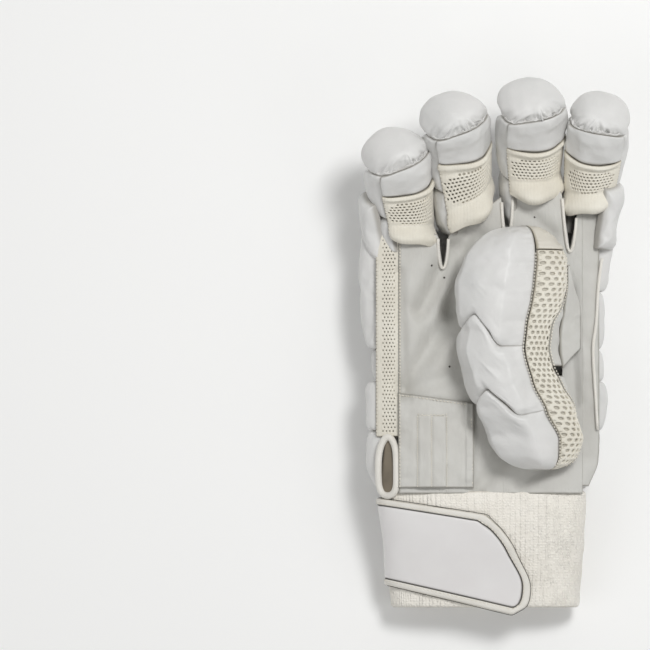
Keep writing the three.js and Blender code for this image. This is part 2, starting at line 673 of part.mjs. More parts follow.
// The thumb is open to the hand below thumbHoleTop, and its leather ends just short of the tip.
const thumbHoleTop = 0.385;
const thumbTipEnd = 0.9998;
const thumbHeelStart = 0.002;
const thumbMeshTop = 0.9;
const thumbFlapEdge = radians(100);
const thumbBase = { from: 0.26, edge: radians(112) };

function buildThumb() {
  const seam = gap / thumbLength;
  const turn = 9 * gap / thumbWidth;
  const constant = (value) => () => value;
  const firm = (u, v) => lerp(padEdge, 1, pillow(u, v));
  const padRight = (place) => thumbEdge('left', place) - turn;
  const upper = (angle) => readZigzag('upper', angle);
  const lower = (angle) => readZigzag('lower', angle);
  const pads = [
    { name: 'thumb_pad_1', from: upper, to: constant(thumbTipEnd) },
    { name: 'thumb_pad_2', from: lower, to: (angle) => upper(angle) - 2 * seam },
    { name: 'thumb_pad_3', from: constant(thumbHeelStart), to: (angle) => lower(angle) - 2 * seam },
  ];
  for (const pad of pads) {
    addPiece(pad.name, thumbPiece(constant(thumbUnder), padRight, pad.from, pad.to, firm, 12, 5), padLeather);
  }
  const panel = thumbPiece((place) => thumbEdge('left', place), (place) => thumbEdge('right', place),
    constant(thumbHeelStart), constant(thumbMeshTop - seam), constant(1), 4, 16);
  addPiece('thumb_mesh', panel, knit);
  const flap = thumbPiece((place) => thumbEdge('left', place), constant(thumbFlapEdge),
    constant(thumbMeshTop), constant(thumbTipEnd), constant(1), 5, 3);
  addPiece('thumb_tip_flap', flap, palmLeatherPaint);
  const underEnd = constant(2 * Math.PI + thumbUnder - turn);
  const innerEdge = (place) => (place > thumbMeshTop ? thumbFlapEdge : thumbEdge('right', place)) + turn;
  const inner = thumbPiece(innerEdge, underEnd, constant(thumbHoleTop + 0.04), constant(thumbTipEnd),
    constant(1), 7, 7);
  addPiece('thumb_inner_leather', inner, palmLeatherPaint);
  const base = thumbPiece((place) => thumbEdge('right', place) + turn, constant(thumbBase.edge),
    constant(thumbBase.from), constant(thumbHoleTop), constant(1), 3, 3);
  addPiece('thumb_base_leather', base, palmLeatherPaint);
  addPiece('thumb_web', thumbWeb(), palmLeatherPaint);
}

// The leather web from the thumb's side down to the palm's seam at the index finger. Its free
// lower edge runs up from the thumb to the seam.
const webEdges = { thumbFrom: 0.42, seamFrom: 0.5, to: 0.84, angle: radians(106) };

function thumbWeb() {
  const sheet = (lift) => (u, v) => {
    const place = lerp(lerp(webEdges.thumbFrom, webEdges.seamFrom, u), webEdges.to, v);
    const top = thumbPoint(place, webEdges.angle, knitWall + 2 * gap);
    const foot = new THREE.Vector3(across(palmRight) - leatherWall, top.y, 0);
    foot.z = palmSkin(foot.x, foot.y) + 2 * gap;
    const point = top.lerp(foot, u);
    point.x += lift * 0.6;
    point.z += lift * 0.8;
    return point;
  };
  return slab(sheet(0), sheet(leatherWall), 3, 7);
}

// Cuff sections: along is the share of cuffLength from the hand, left and right are shares of
// handWidth.
const cuffSections = [
  { along: 0, left: -0.462, right: 0.365 },
  { along: 0.5, left: -0.43, right: 0.355 },
  { along: 1, left: -0.42, right: 0.34 },
];
const cuffSquareness = 2.6;
const cuffColumns = 24;
const cuffRows = 3;
const strapLift = 0.9;
const strapStart = radians(-150);
const strapTilt = -0.2;
const strapMiddle = -0.42;
const strapTaper = 0.12;
// The strap's whole length round the cuff, in strapReach.
const strapWrap = 1.5;
// The strap's free end: across is the share of its width from the lower edge, and reach the
// share of strapReach.
const strapEnd = [
  { across: 0, reach: 0.85 },
  { across: 0.05, reach: 0.93 },
  { across: 0.14, reach: 0.99 },
  { across: 0.35, reach: 1 },
  { across: 0.7, reach: 0.88 },
  { across: 0.92, reach: 0.79 },
  { across: 1, reach: 0.7 },
];

function cuffPoint(place, angle, lift) {
  const left = across(readTable(cuffSections, 'along', 'left', place));
  const right = across(readTable(cuffSections, 'along', 'right', place));
  const { side, up } = roundedSquare(angle, cuffSquareness);
  const lowest = restHeight + cuffDepth / 2;
  const middle = lerp(palmHeight - cuffDepth / 2, lowest, smoothstep(place, 0, 1.15));
  return new THREE.Vector3(
    (left + right) / 2 + (right - left) / 2 * side + lift * Math.sin(angle),
    along(heelEnd) - 2 * gap - place * cuffLength,
    middle + cuffDepth / 2 * up + lift * Math.cos(angle),
  );
}

function strapPoint(u, v, lift) {
  const left = across(cuffSections[0].left);
  const endX = left + strapReach * readTable(strapEnd, 'across', 'reach', v);
  const middle = across((cuffSections[1].left + cuffSections[1].right) / 2);
  const half = across((cuffSections[1].right - cuffSections[1].left) / 2);
  const side = (endX - middle) / half;
  const endAngle = Math.sign(side) * Math.asin(Math.min(1, Math.abs(side) ** (cuffSquareness / 2)));
  const angle = lerp(strapStart, endAngle, u);
  const overTop = roundedSquare(Math.max(angle, -Math.PI / 2), cuffSquareness).side;
  const reach = Math.max(0, middle + half * overTop - left);
  const width = strapWidth * (1 + strapTaper * reach / strapReach);
  const drop = -strapMiddle * cuffLength - strapTilt * reach - width * (v - 0.5);
  return cuffPoint(drop / cuffLength, angle, lift);
}

function buildCuff() {
  const ring = (lift) => (u, v) => cuffPoint(v, 2 * Math.PI * u, lift);
  addPiece('cuff_band', slab(ring(-towelWall), ring(0), cuffColumns, cuffRows, true), towelling);

  const inset = (bindingWidth + gap) / strapWidth;
  const wrapLength = strapWrap * strapReach;
  const endInset = (bindingWidth + gap) / wrapLength;
  const body = (lift) => (u, v) => strapPoint(u * (1 - endInset), lerp(inset, 1 - inset, v), lift);
  addPiece('strap', slab(body(strapLift), body(strapLift + strapWall), 14, 4), strapPaint);

  const rim = (lift) => (u, v) => {
    const depth = v * bindingWidth / strapWidth;
    const endDepth = v * bindingWidth / wrapLength;
    const leg = clamp(u * 3, 0, 3);
    if (leg <= 1) return strapPoint(leg * (1 - endDepth), 1 - depth, lift);
    if (leg <= 2) return strapPoint(1 - endDepth, lerp(1 - depth, depth, leg - 1), lift);
    return strapPoint((3 - leg) * (1 - endDepth), depth, lift);
  };
  addPiece('strap_binding', slab(rim(strapLift), rim(strapLift + bindingWall), 36, 1), trim);
}

// The teardrop binding of the slit at the wrist, on the palm's skin.
function buildSlit() {
  const outline = [
    { x: -0.435, y: -0.328 }, { x: -0.462, y: -0.37 }, { x: -0.465, y: -0.45 }, { x: -0.45, y: -0.525 },
    { x: -0.425, y: -0.525 }, { x: -0.414, y: -0.45 }, { x: -0.412, y: -0.37 },
  ];
  const points = outline.map((spot) => {
    const [x, y] = [across(spot.x), along(spot.y)];
    return new THREE.Vector3(x, y, palmSkin(x, y));
  });
  addPiece('slit_binding', tube(points, loopWidth / 2 - gap, 16, true), trim);
}

// Piping on the palm's skin through places given as shares of the hand's width and length.
function skinPiping(places, steps) {
  const points = places.map(({ x, y }) => {
    const [px, py] = [across(x), along(y)];
    return new THREE.Vector3(px, py, palmSkin(px, py) + pipingRadius + 2 * gap);
  });
  return tube(points, pipingRadius, steps);
}

// Half the width of the piping's turn at a slit's foot, and the share of the slit it runs up.
const slitTurn = 2.2;
const slitRise = 0.85;

function buildPiping() {
  const sideSeam = [
    { x: 0.425, y: 0.33 }, { x: 0.41, y: 0.25 }, { x: 0.402, y: 0.08 }, { x: 0.385, y: 0 },
    { x: 0.395, y: -0.14 }, { x: 0.405, y: -0.31 },
  ];
  addPiece('side_piping', skinPiping(sideSeam, 10), trim);
  const slitFeet = [2, 6, 10];
  slitFeet.forEach((row, i) => {
    const [left, bottom, right] = [palmEdge[row - 1], palmEdge[row], palmEdge[row + 1]];
    const turn = slitTurn / handWidth;
    const rise = (end) => ({ x: lerp(bottom.x, end.x, slitRise), y: lerp(bottom.y, end.y, slitRise) });
    const foot = [{ x: bottom.x - turn, y: bottom.y }, { x: bottom.x + turn, y: bottom.y }];
    const places = [rise(left), ...foot, rise(right)];
    const below = pipingRadius / handLength;
    const route = places.map(({ x, y }) => ({ x, y: y - below }));
    addPiece(`slit_piping_${i + 1}`, skinPiping(route, 9), trim);
  });
}

buildPalm();
buildBack();
const [little, ring, middleFinger, index] = fingers;
buildFinger(little, []);
buildFinger(ring, [fingerRoom(little)]);
buildFinger(middleFinger, []);
buildFinger(index, [fingerRoom(middleFinger), knuckleRoom(index)]);
buildKnucklePad(fingers[0]);
buildKnucklePad(fingers[3]);
buildThumb();
buildCuff();
buildSlit();
buildPiping();

// The origin is at the middle of the underside of the glove's box.
const box = new THREE.Box3().setFromObject(glove);
const middle = box.getCenter(new THREE.Vector3());
glove.position.set(-middle.x, -middle.y, -box.min.z);

export default glove;
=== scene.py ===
import math

import bmesh
import bpy
import numpy as np
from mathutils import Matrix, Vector


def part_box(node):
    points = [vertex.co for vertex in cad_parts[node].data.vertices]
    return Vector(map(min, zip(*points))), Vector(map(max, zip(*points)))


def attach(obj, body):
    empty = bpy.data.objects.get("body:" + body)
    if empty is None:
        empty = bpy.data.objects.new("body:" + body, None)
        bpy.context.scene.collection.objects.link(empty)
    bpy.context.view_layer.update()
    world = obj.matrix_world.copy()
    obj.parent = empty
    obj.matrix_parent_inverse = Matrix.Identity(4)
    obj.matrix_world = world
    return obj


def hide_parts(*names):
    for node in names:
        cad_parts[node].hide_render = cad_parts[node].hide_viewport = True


# A right-hand cricket batting glove, palm up. Shapes are worked out in millimetres in the drawing's
# own frame, with the hand's middle at x 0 and y 0, and toFrame moves them into the CAD frame.
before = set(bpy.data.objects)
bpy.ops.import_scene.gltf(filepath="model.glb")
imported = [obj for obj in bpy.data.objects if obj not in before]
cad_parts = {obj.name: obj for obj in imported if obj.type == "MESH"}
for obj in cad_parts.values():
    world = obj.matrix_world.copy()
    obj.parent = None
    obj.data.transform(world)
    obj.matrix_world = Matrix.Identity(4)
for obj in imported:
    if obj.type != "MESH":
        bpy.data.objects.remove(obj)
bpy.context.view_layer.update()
print("frame loaded")

hand = {
    "width": 136, "length": 146, "depth": 50, "cavity": 26, "palmHeight": 50, "rest": 4.5,
    "palmLeft": -0.393, "palmRight": 0.346, "meshLeft": -0.482, "panelRight": 0.414,
    "heelEnd": -0.548, "leather": 1.8, "knit": 2, "sidePad": 12, "gap": 0.3,
}
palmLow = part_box("palm_leather")[0]
frameShift = np.array([
    palmLow[0] - hand["palmLeft"] * hand["width"] / 1000,
    palmLow[1] - hand["heelEnd"] * hand["length"] / 1000,
    -hand["rest"] / 1000,
])


def toFrame(points):
    return np.asarray(points, dtype=float) / 1000 + frameShift


def across(share):
    return share * hand["width"]


def along(share):
    return share * hand["length"]


def mix(a, b, share):
    return a + (b - a) * share


def smooth(x, low, high):
    t = np.clip((x - low) / (high - low), 0, 1)
    return t * t * (3 - 2 * t)


def bump(distance, width):  # 1 in its middle, fading out on both sides
    return np.exp(-((distance / width) ** 2))


def roundOff(seam, radius):  # a quarter circle from 0 at a seam to 1
    return np.sqrt(1 - (1 - np.clip(seam / radius, 0, 1)) ** 2)


def steady(value):
    return lambda place: value + 0.0 * np.asarray(place)


def readTable(table, column, place):  # read smoothly between the rows
    keys = np.array(table["along"], dtype=float)
    values = np.array(table[column], dtype=float)
    place = np.clip(place, keys[0], keys[-1])
    row = np.clip(np.searchsorted(keys, place, side="right") - 1, 0, len(keys) - 2)
    t = (place - keys[row]) / (keys[row + 1] - keys[row])
    return mix(values[row], values[row + 1], (t + t * t * (3 - 2 * t)) / 2)


def roundedSquare(angle, exponent):
    side = np.sign(np.sin(angle)) * np.abs(np.sin(angle)) ** (2 / exponent)
    up = np.sign(np.cos(angle)) * np.abs(np.cos(angle)) ** (2 / exponent)
    return side, up


def stack(x, y, z):
    return np.stack(np.broadcast_arrays(x, y, z), axis=-1)


# Slow lumps for dents: a sum of sine waves in seeded directions, about -1 to 1.
def lumps(points, size, seed):
    rng = np.random.default_rng(seed)
    total = np.zeros(len(points))
    for _ in range(7):
        direction = rng.normal(size=3)
        direction /= np.linalg.norm(direction)
        wave = points @ direction * 2 * math.pi / (size * rng.uniform(0.7, 1.5))
        total += np.sin(wave + rng.uniform(0, 6.28))
    return total / 3.2


# Grid places from 0 to 1, closer together near the two ends.
def eased(count):
    t = np.linspace(0, 1, count + 1)
    return mix(t, 0.5 - 0.5 * np.cos(math.pi * t), 0.35)


def readAll(items, key, width):
    found = np.empty(len(items) * width)
    items.foreach_get(key, found)
    return found.reshape(-1, width)


def spotsOf(mesh):
    return readAll(mesh.vertices, "co", 3)


def normalsOf(mesh):
    return readAll(mesh.vertex_normals, "vector", 3)


def valuesOf(mesh, key):
    return readAll(mesh.attributes[key].data, "value", 1)[:, 0]


def setValues(mesh, key, values):
    data = mesh.attributes.new(key, "FLOAT", "POINT").data
    data.foreach_set("value", np.asarray(values, dtype=np.float32))


def setCloth(mesh, corners):  # where each corner of the mesh lies on the flat cloth, in metres
    data = mesh.uv_layers.new(name="cloth").data
    data.foreach_set("uv", np.array(corners, dtype=np.float32).ravel())


def moveTo(mesh, spots):
    mesh.vertices.foreach_set("co", spots.ravel())
    mesh.update()


def newMesh(name, points, faces):
    mesh = bpy.data.meshes.new(name)
    mesh.from_pydata(np.asarray(points).tolist(), [], faces)
    return mesh


def smoothFaces(mesh):
    mesh.polygons.foreach_set("use_smooth", [True] * len(mesh.polygons))


def addObject(name, data):
    piece = bpy.data.objects.new(name, data)
    bpy.context.scene.collection.objects.link(piece)
    if isinstance(data, bpy.types.Mesh):
        smoothFaces(data)
    return piece


# Doubles at poles are merged, and the faces are turned outwards.
def tidyShell(mesh):
    shell = bmesh.new()
    shell.from_mesh(mesh)
    bmesh.ops.remove_doubles(shell, verts=shell.verts, dist=2e-6)
    bmesh.ops.recalc_face_normals(shell, faces=shell.faces)
    shell.to_mesh(mesh)
    shell.free()


# The piece as its live modifiers leave it.
def asModified(piece):
    return piece.evaluated_get(bpy.context.evaluated_depsgraph_get())


def settle(piece):
    plain = bpy.data.meshes.new_from_object(asModified(piece), preserve_all_data_layers=True,
                                            depsgraph=bpy.context.evaluated_depsgraph_get())
    piece.modifiers.clear()
    piece.data = plain
    smoothFaces(plain)


def refine(piece, levels):
    finer = piece.modifiers.new("finer", "SUBSURF")
    finer.levels = levels
    finer.render_levels = levels
    finer.uv_smooth = "PRESERVE_BOUNDARIES"
    settle(piece)


# Width and length of a sheet at one lift, averaged over a grid of places.
def measure(sheet, lift, count):
    probe = np.linspace(0, 1, count)
    u, v = np.meshgrid(probe, probe, indexing="ij")
    spots = sheet(u, v, np.full(u.shape, lift))
    return [np.linalg.norm(np.diff(spots, axis=way), axis=2).sum(axis=way).mean() for way in (0, 1)]


# A closed slab over one grid. sheet(u, v, lift) gives points, wall(u, v, seam) the lift in mm,
# and seams names the sewn edges: l and r at u 0 and 1, b and t at v 0 and 1.
def makeSlab(name, sheet, wall, spacing, seams="lrbt", ring=False, lining=False):
    width, length = measure(sheet, 3.0, 17)
    columns = max(6, round(width / spacing))
    rows = max(3, round(length / spacing))
    us = np.linspace(0, 1, columns + 1) if ring else eased(columns)
    u, v = np.meshgrid(us, eased(rows), indexing="ij")
    seam = np.full(u.shape, 1e3)
    distances = {"l": u * width, "r": (1 - u) * width, "b": v * length, "t": (1 - v) * length}
    for letter in seams:
        seam = np.minimum(seam, distances[letter])
    layers = [sheet(u, v, wall(u, v, seam)), sheet(u, v, np.zeros(u.shape))]
    stations = columns if ring else columns + 1
    layerSize = stations * (rows + 1)
    faces, corners, inside = [], [], []

    def at(layer, i, j):
        return layer * layerSize + (i % stations) * (rows + 1) + j

    def quad(ids, spots, turned=False, inner=0):
        faces.append(ids[::-1] if turned else ids)
        spots = spots[::-1] if turned else spots
        corners.extend((us[i] * width / 1000, v[0, j] * length / 1000) for i, j in spots)
        inside.append(inner)

    def rim(start, end, turned):  # closes the two layers' edges
        quad([at(0, *start), at(1, *start), at(1, *end), at(0, *end)], [start, start, end, end], turned)

    for i in range(columns):
        for j in range(rows):
            spots = [(i, j), (i + 1, j), (i + 1, j + 1), (i, j + 1)]
            quad([at(0, *s) for s in spots], spots)
            quad([at(1, *s) for s in spots], spots, True, 1)
        rim((i, 0), (i + 1, 0), False)
        rim((i, rows), (i + 1, rows), True)
    for j in range(0 if ring else rows):
        rim((0, j), (0, j + 1), True)
        rim((columns, j), (columns, j + 1), False)
    points = np.concatenate([layer[:stations].reshape(-1, 3) for layer in layers])
    mesh = newMesh(name, toFrame(points), faces)
    setCloth(mesh, corners)
    for key, grid in (("seam", seam), ("way", u * width), ("rise", v * length)):
        setValues(mesh, key, np.tile(grid[:stations].ravel(), 2))
    setValues(mesh, "outer", np.repeat([1.0, 0.0], layerSize))
    mesh.polygons.foreach_set("material_index", np.array(inside) * int(lining))
    tidyShell(mesh)
    return addObject(name, mesh)


netting = {"corner": 0.72, "leastCell": 0.9, "thickness": 0.75}


# Open knit: staggered cells, each a ring of eight quads round a rounded hole. sheet(u, v, lift)
# as in makeSlab; holes(u, v) gives each hole's share of its cell, or 0 where there is none.
def makeNet(name, sheet, cell, wall, holes, edgeBand):
    width, length = measure(sheet, wall, 13)
    columns = max(2, round(width / cell))
    rows = max(2, round(length / cell))
    ring = [(-1, -1), (0, -1), (1, -1), (1, 0), (1, 1), (0, 1), (-1, 1), (-1, 0)]
    spots, faces = [], []

    def addRing(centre, half, reach, cornerReach):
        for x, y in ring:
            share = cornerReach if x and y else reach
            spots.append((centre[0] + x * half[0] * share, centre[1] + y * half[1] * share))
        return list(range(len(spots) - 8, len(spots)))

    for j in range(rows):
        shift = 0.5 if j % 2 else 0.0
        firsts = [i + shift for i in range(columns - (1 if shift else 0))]
        if shift:
            firsts = [-0.5] + firsts + [columns - 0.5]
        for first in firsts:
            low, high = max(first, 0), min(first + 1, columns)
            centre = ((low + high) / 2 / columns, (j + 0.5) / rows)
            half = ((high - low) / 2 / columns, 0.5 / rows)
            outer = addRing(centre, half, 1, 1)
            away = min(min(centre[0], 1 - centre[0]) * width, min(centre[1], 1 - centre[1]) * length)
            isWhole = high - low > netting["leastCell"]
            size = holes(*centre) if isWhole and away > edgeBand else 0
            if size == 0:
                spots.append(centre)
                for k in range(0, 8, 2):
                    faces.append([outer[k], outer[k + 1], len(spots) - 1, outer[k - 1]])
                continue
            inner = addRing(centre, half, size, size * netting["corner"])
            for k in range(8):
                faces.append([outer[k], outer[(k + 1) % 8], inner[(k + 1) % 8], inner[k]])
    spots = np.clip(spots, 0, 1)
    points = sheet(spots[:, 0], spots[:, 1], np.full(len(spots), wall))
    mesh = newMesh(name, toFrame(points), faces)
    setCloth(mesh, [spots[i] * (width / 1000, length / 1000) for face in faces for i in face])
    edges = np.minimum(spots, 1 - spots) * (width, length)
    setValues(mesh, "seam", edges.min(axis=1))
    tidyShell(mesh)
    net = addObject(name, mesh)
    middle = np.array([0.5])
    outwards = sheet(middle, middle, middle * 0 + wall + 1) - sheet(middle, middle, middle * 0 + wall)
    if float(normalsOf(mesh).mean(axis=0) @ outwards[0]) < 0:
        mesh.flip_normals()
    thick = net.modifiers.new("thick", "SOLIDIFY")
    thick.thickness = wall * netting["thickness"] / 1000
    thick.offset = -1
    refine(net, 1)
    return net


# Stuffing blown into a sewn leather skin: the inside and the seams stay, the skin is a little
# larger than its place, so it swells and puckers. No spot moves further than most, in mm.
stuffing = {
    "held": 0.4, "slack": -0.045, "frames": 14, "most": 2.2,
    "cloth": {
        "quality": 4, "mass": 0.01, "use_pressure": True, "uniform_pressure_force": 30,
        "vertex_group_mass": "sewn",
        "bending_stiffness": 0.15, "tension_stiffness": 10, "compression_stiffness": 10,
    },
}


def stuff(piece, slack):
    mesh = piece.data
    before = spotsOf(mesh)
    held = (valuesOf(mesh, "outer") < 0.5) | (valuesOf(mesh, "seam") < stuffing["held"])
    group = piece.vertex_groups.new(name="sewn")
    group.add([int(i) for i in np.nonzero(held)[0]], 1.0, "REPLACE")
    cloth = piece.modifiers.new("stuffing", "CLOTH")
    for key, value in stuffing["cloth"].items():
        setattr(cloth.settings, key, value)
    cloth.settings.effector_weights.gravity = 0
    cloth.settings.shrink_min = stuffing["slack"] * slack
    cloth.point_cache.frame_start = 1
    cloth.point_cache.frame_end = stuffing["frames"]
    for number in range(1, stuffing["frames"] + 1):
        bpy.context.scene.frame_set(number)
    move = spotsOf(asModified(piece).data) - before
    piece.modifiers.clear()
    piece.vertex_groups.clear()
    bpy.context.scene.frame_set(1)
    reach = np.linalg.norm(move, axis=1, keepdims=True)
    most = stuffing["most"] / 1000
    move *= np.where(reach > most, most / np.maximum(reach, 1e-9), 1)
    moveTo(mesh, before + move)


# How far each crease of a row strays from the row's own numbers, as shares of them.
creasing = {
    "scatter": 0.4, "length": (0.5, 1.2), "slant": 0.16, "width": (0.7, 1.4), "depth": (0.6, 1.2),
    "spread": 0.8, "fadeFrom": 0.25, "fineSize": 0.4, "fineDents": 0.35, "margin": 1.2,
}


# Leather's own relief: slow dents, and short creases that run off a seam. Each row of creases has
# the seam's letter, a count, length, width and depth in mm, and the share of the seam it covers.
def wrinkle(piece, dents, size, creases, seed):
    mesh = piece.data
    spots = spotsOf(mesh)
    depth = dents * lumps(spots * 1000, size, seed)
    depth += creasing["fineDents"] * dents * lumps(spots * 1000, size * creasing["fineSize"], seed + 50)
    way, rise = valuesOf(mesh, "way"), valuesOf(mesh, "rise")
    width, length = way.max(), rise.max()
    rng = np.random.default_rng(seed + 100)
    for edge, count, creaseLength, creaseWidth, creaseDepth, *cover in creases:
        onEdge = {"b": rise, "t": length - rise, "l": way, "r": width - way}[edge]
        beside, span = (way, width) if edge in "bt" else (rise, length)
        low, high = cover or (0, 1)
        strays = rng.uniform(-creasing["scatter"], creasing["scatter"], count) * span * (high - low) / count
        for centre in np.linspace(low, high, count) * span + strays:
            reach = creaseLength * rng.uniform(*creasing["length"])
            slant = rng.uniform(-creasing["slant"], creasing["slant"])
            thin = creaseWidth * rng.uniform(*creasing["width"]) * (1 + creasing["spread"] * onEdge / reach)
            valley = bump(beside - centre - slant * onEdge, thin)
            valley *= 1 - smooth(onEdge, creasing["fadeFrom"] * reach, reach)
            depth -= creaseDepth * rng.uniform(*creasing["depth"]) * valley
    share = valuesOf(mesh, "outer") * smooth(valuesOf(mesh, "seam"), 0.0, creasing["margin"])
    moveTo(mesh, spots + normalsOf(mesh) * (depth * share / 1000)[:, None])


# Materials. One function adds a node: settings are attributes or input values, links are inputs.
def addNode(tree, kind, settings, links=None):
    node = tree.nodes.new(kind)
    for key, value in settings.items():
        if isinstance(key, int) or key in node.inputs:
            node.inputs[key].default_value = value
        else:
            setattr(node, key, value)
    for key, source in (links or {}).items():
        tree.links.new(source, node.inputs[key])
    return node


def linear(code):
    parts = [int(code[i:i + 2], 16) / 255 for i in (1, 3, 5)]
    return [c / 12.92 if c <= 0.04045 else ((c + 0.055) / 1.055) ** 2.4 for c in parts] + [1.0]


def addRange(tree, value, settings):
    return addNode(tree, "ShaderNodeMapRange", settings, {"Value": value}).outputs[0]


# Mixes two colours by a share. Each of the three is a socket, or else a colour's code or a number.
def blendColours(tree, share, low, high):
    settings, links = {"data_type": "RGBA"}, {}
    for slot, given in ((0, share), (6, low), (7, high)):
        if isinstance(given, str):
            settings[slot] = linear(given)
        elif isinstance(given, float):
            settings[slot] = given
        else:
            links[slot] = given
    return addNode(tree, "ShaderNodeMix", settings, links).outputs[2]


# A surface under work: its tree, the place on the piece, and its colour and normal so far.
def newSurface(name):
    material = bpy.data.materials.new(name)
    material.use_nodes = True
    tree = material.node_tree
    tree.nodes.clear()
    spot = addNode(tree, "ShaderNodeTexCoord", {}).outputs["Object"]
    return {"material": material, "tree": tree, "spot": spot, "colour": None, "normal": None}


# Two close tones in slow patches, and darker along the seams: partly dust from handling, partly painted shade
# where the seams' hollows fall dark.
def addHandledColourAndSeamShade(surface, light, shade, seamShade, patch, seamReach):
    tree = surface["tree"]
    slow = addNode(tree, "ShaderNodeTexNoise", {"Scale": 1 / patch, "Detail": 4.0, "Roughness": 0.6},
                   {"Vector": surface["spot"]})
    spread = addRange(tree, slow.outputs["Fac"], {"From Min": 0.35, "From Max": 0.75})
    body = blendColours(tree, spread, light, shade)
    # Painted shade with dust: within seamReach mm of a seam the colour blends towards seamShade.
    seam = addNode(tree, "ShaderNodeAttribute", {"attribute_name": "seam"})
    fade = {"From Max": seamReach, "To Min": 1.0, "To Max": 0.0, "interpolation_type": "SMOOTHSTEP"}
    near = addRange(tree, seam.outputs["Fac"], fade)
    surface["colour"] = blendColours(tree, near, body, seamShade)


# Relief from one texture, over the relief that is there. limits bends the texture's value, and
# vector is where it is read. Returns the value's socket.
def addRelief(surface, kind, settings, strength, depth, limits=None, vector=None):
    tree = surface["tree"]
    texture = addNode(tree, "ShaderNodeTex" + kind, settings, {"Vector": vector or surface["spot"]})
    height = texture.outputs["Distance" if kind == "Voronoi" else "Fac"]
    if limits:
        height = addRange(tree, height, limits)
    links = {"Height": height}
    if surface["normal"]:
        links["Normal"] = surface["normal"]
    relief = addNode(tree, "ShaderNodeBump", {"Strength": strength, "Distance": depth}, links)
    surface["normal"] = relief.outputs[0]
    return height


def finishSurface(surface, look, links=None):
    tree = surface["tree"]
    links = {"Normal": surface["normal"], **(links or {})}
    if surface["colour"]:
        links["Base Color"] = surface["colour"]
    shader = addNode(tree, "ShaderNodeBsdfPrincipled", look, links)
    addNode(tree, "ShaderNodeOutputMaterial", {}, {"Surface": shader.outputs[0]})
    return surface["material"]


# Coated cowhide: a smooth semi-matt face with a fine pebble grain and a soft gloss.
def makePadLeather():
    surface = newSurface("coated_cowhide_semi_matt")
    addHandledColourAndSeamShade(surface, "#dfdedc", "#d6d6d4", "#b0ada7", 0.035, 1.3)
    pebble = {"feature": "DISTANCE_TO_EDGE", "Scale": 1 / 0.0009}
    addRelief(surface, "Voronoi", pebble, 0.22, 0.00006, {"From Max": 0.25})
    rumple = {"Scale": 1 / 0.004, "Detail": 5.0, "Roughness": 0.62, "Distortion": 0.4}
    height = addRelief(surface, "Noise", rumple, 0.55, 0.0005)
    spread = {"From Min": 0.3, "From Max": 0.7, "To Min": 0.42, "To Max": 0.56}
    gloss = addRange(surface["tree"], height, spread)
    look = {"IOR": 1.48, "Coat Weight": 0.06, "Coat Roughness": 0.4}
    return finishSurface(surface, look, {"Roughness": gloss})


# Soft sheepskin for the palm: thinner, with long drawn wrinkles and almost no gloss.
def makePalmLeather(name, light, shade, seamShade):
    surface = newSurface(name)
    addHandledColourAndSeamShade(surface, light, shade, seamShade, 0.028, 1.2)
    addRelief(surface, "Voronoi", {"Scale": 1 / 0.0008}, 0.2, 0.00005)
    drawn = addNode(surface["tree"], "ShaderNodeMapping", {"Rotation": (0, 0, 0.7), "Scale": (1, 0.3, 1)},
                    {"Vector": surface["spot"]})
    wrinkles = {"Scale": 1 / 0.0045, "Detail": 6.0, "Roughness": 0.6, "Distortion": 0.9}
    addRelief(surface, "Noise", wrinkles, 0.6, 0.0008, vector=drawn.outputs[0])
    look = {"Roughness": 0.62, "IOR": 1.46, "Sheen Weight": 0.08, "Sheen Roughness": 0.5}
    return finishSurface(surface, look)


# Knitted cotton: short loops in rows 1.1 mm apart, soft and fuzzy.
def makeKnit():
    surface = newSurface("knitted_cotton_mesh")
    addHandledColourAndSeamShade(surface, "#e7e3d7", "#dbd5c7", "#b5ae9e", 0.02, 0.7)
    rows = {"Scale": 1 / 0.0055, "Distortion": 3.0, "Detail": 2.0, "Detail Scale": 2.0}
    addRelief(surface, "Wave", rows, 0.4, 0.0002)
    addRelief(surface, "Voronoi", {"Scale": 1 / 0.0011}, 0.5, 0.0002)
    return finishSurface(surface, {"Roughness": 0.92, "Sheen Weight": 0.25, "Sheen Roughness": 0.5})


# Looped towelling on a ribbed knit: ribs 1.8 mm apart along the cuff, with a nap of loops.
def makeTowelling():
    surface = newSurface("cotton_towelling_ribbed")
    tree = surface["tree"]
    addHandledColourAndSeamShade(surface, "#fdf9f1", "#f5f0e6", "#d9d3c7", 0.016, 0.8)
    cloth = addNode(tree, "ShaderNodeUVMap", {"uv_map": "cloth"})
    ribs = {
        "Scale": 1 / (0.0018 * 3.2), "Distortion": 1.2, "Detail": 2.0, "Detail Scale": 3.0,
        "bands_direction": "X",
    }
    addRelief(surface, "Wave", ribs, 0.6, 0.0005, vector=cloth.outputs[0])
    loopTop = addRelief(surface, "Voronoi", {"Scale": 1 / 0.0014, "Randomness": 0.55}, 0.65, 0.0005,
                        {"From Min": 0.1, "From Max": 0.62, "To Min": 1.0, "To Max": 0.0})
    # Painted shade: the hollows between the loops darken towards #e7e2d7, blended in at 0.4.
    between = blendColours(tree, loopTop, "#e7e2d7", surface["colour"])
    surface["colour"] = blendColours(tree, 0.4, surface["colour"], between)
    return finishSurface(surface, {"Roughness": 0.96, "Sheen Weight": 0.3, "Sheen Roughness": 0.5})


# Smooth coated sheet for the wrist strap: an even satin face with a very fine emboss.
def makeStrapLeather():
    surface = newSurface("coated_strap_satin")
    addHandledColourAndSeamShade(surface, "#e9e7e6", "#e4e1e0", "#d2cfcb", 0.03, 0.6)
    addRelief(surface, "Voronoi", {"feature": "DISTANCE_TO_EDGE", "Scale": 1 / 0.0007}, 0.15, 0.00005)
    return finishSurface(surface, {"Roughness": 0.4, "IOR": 1.5})


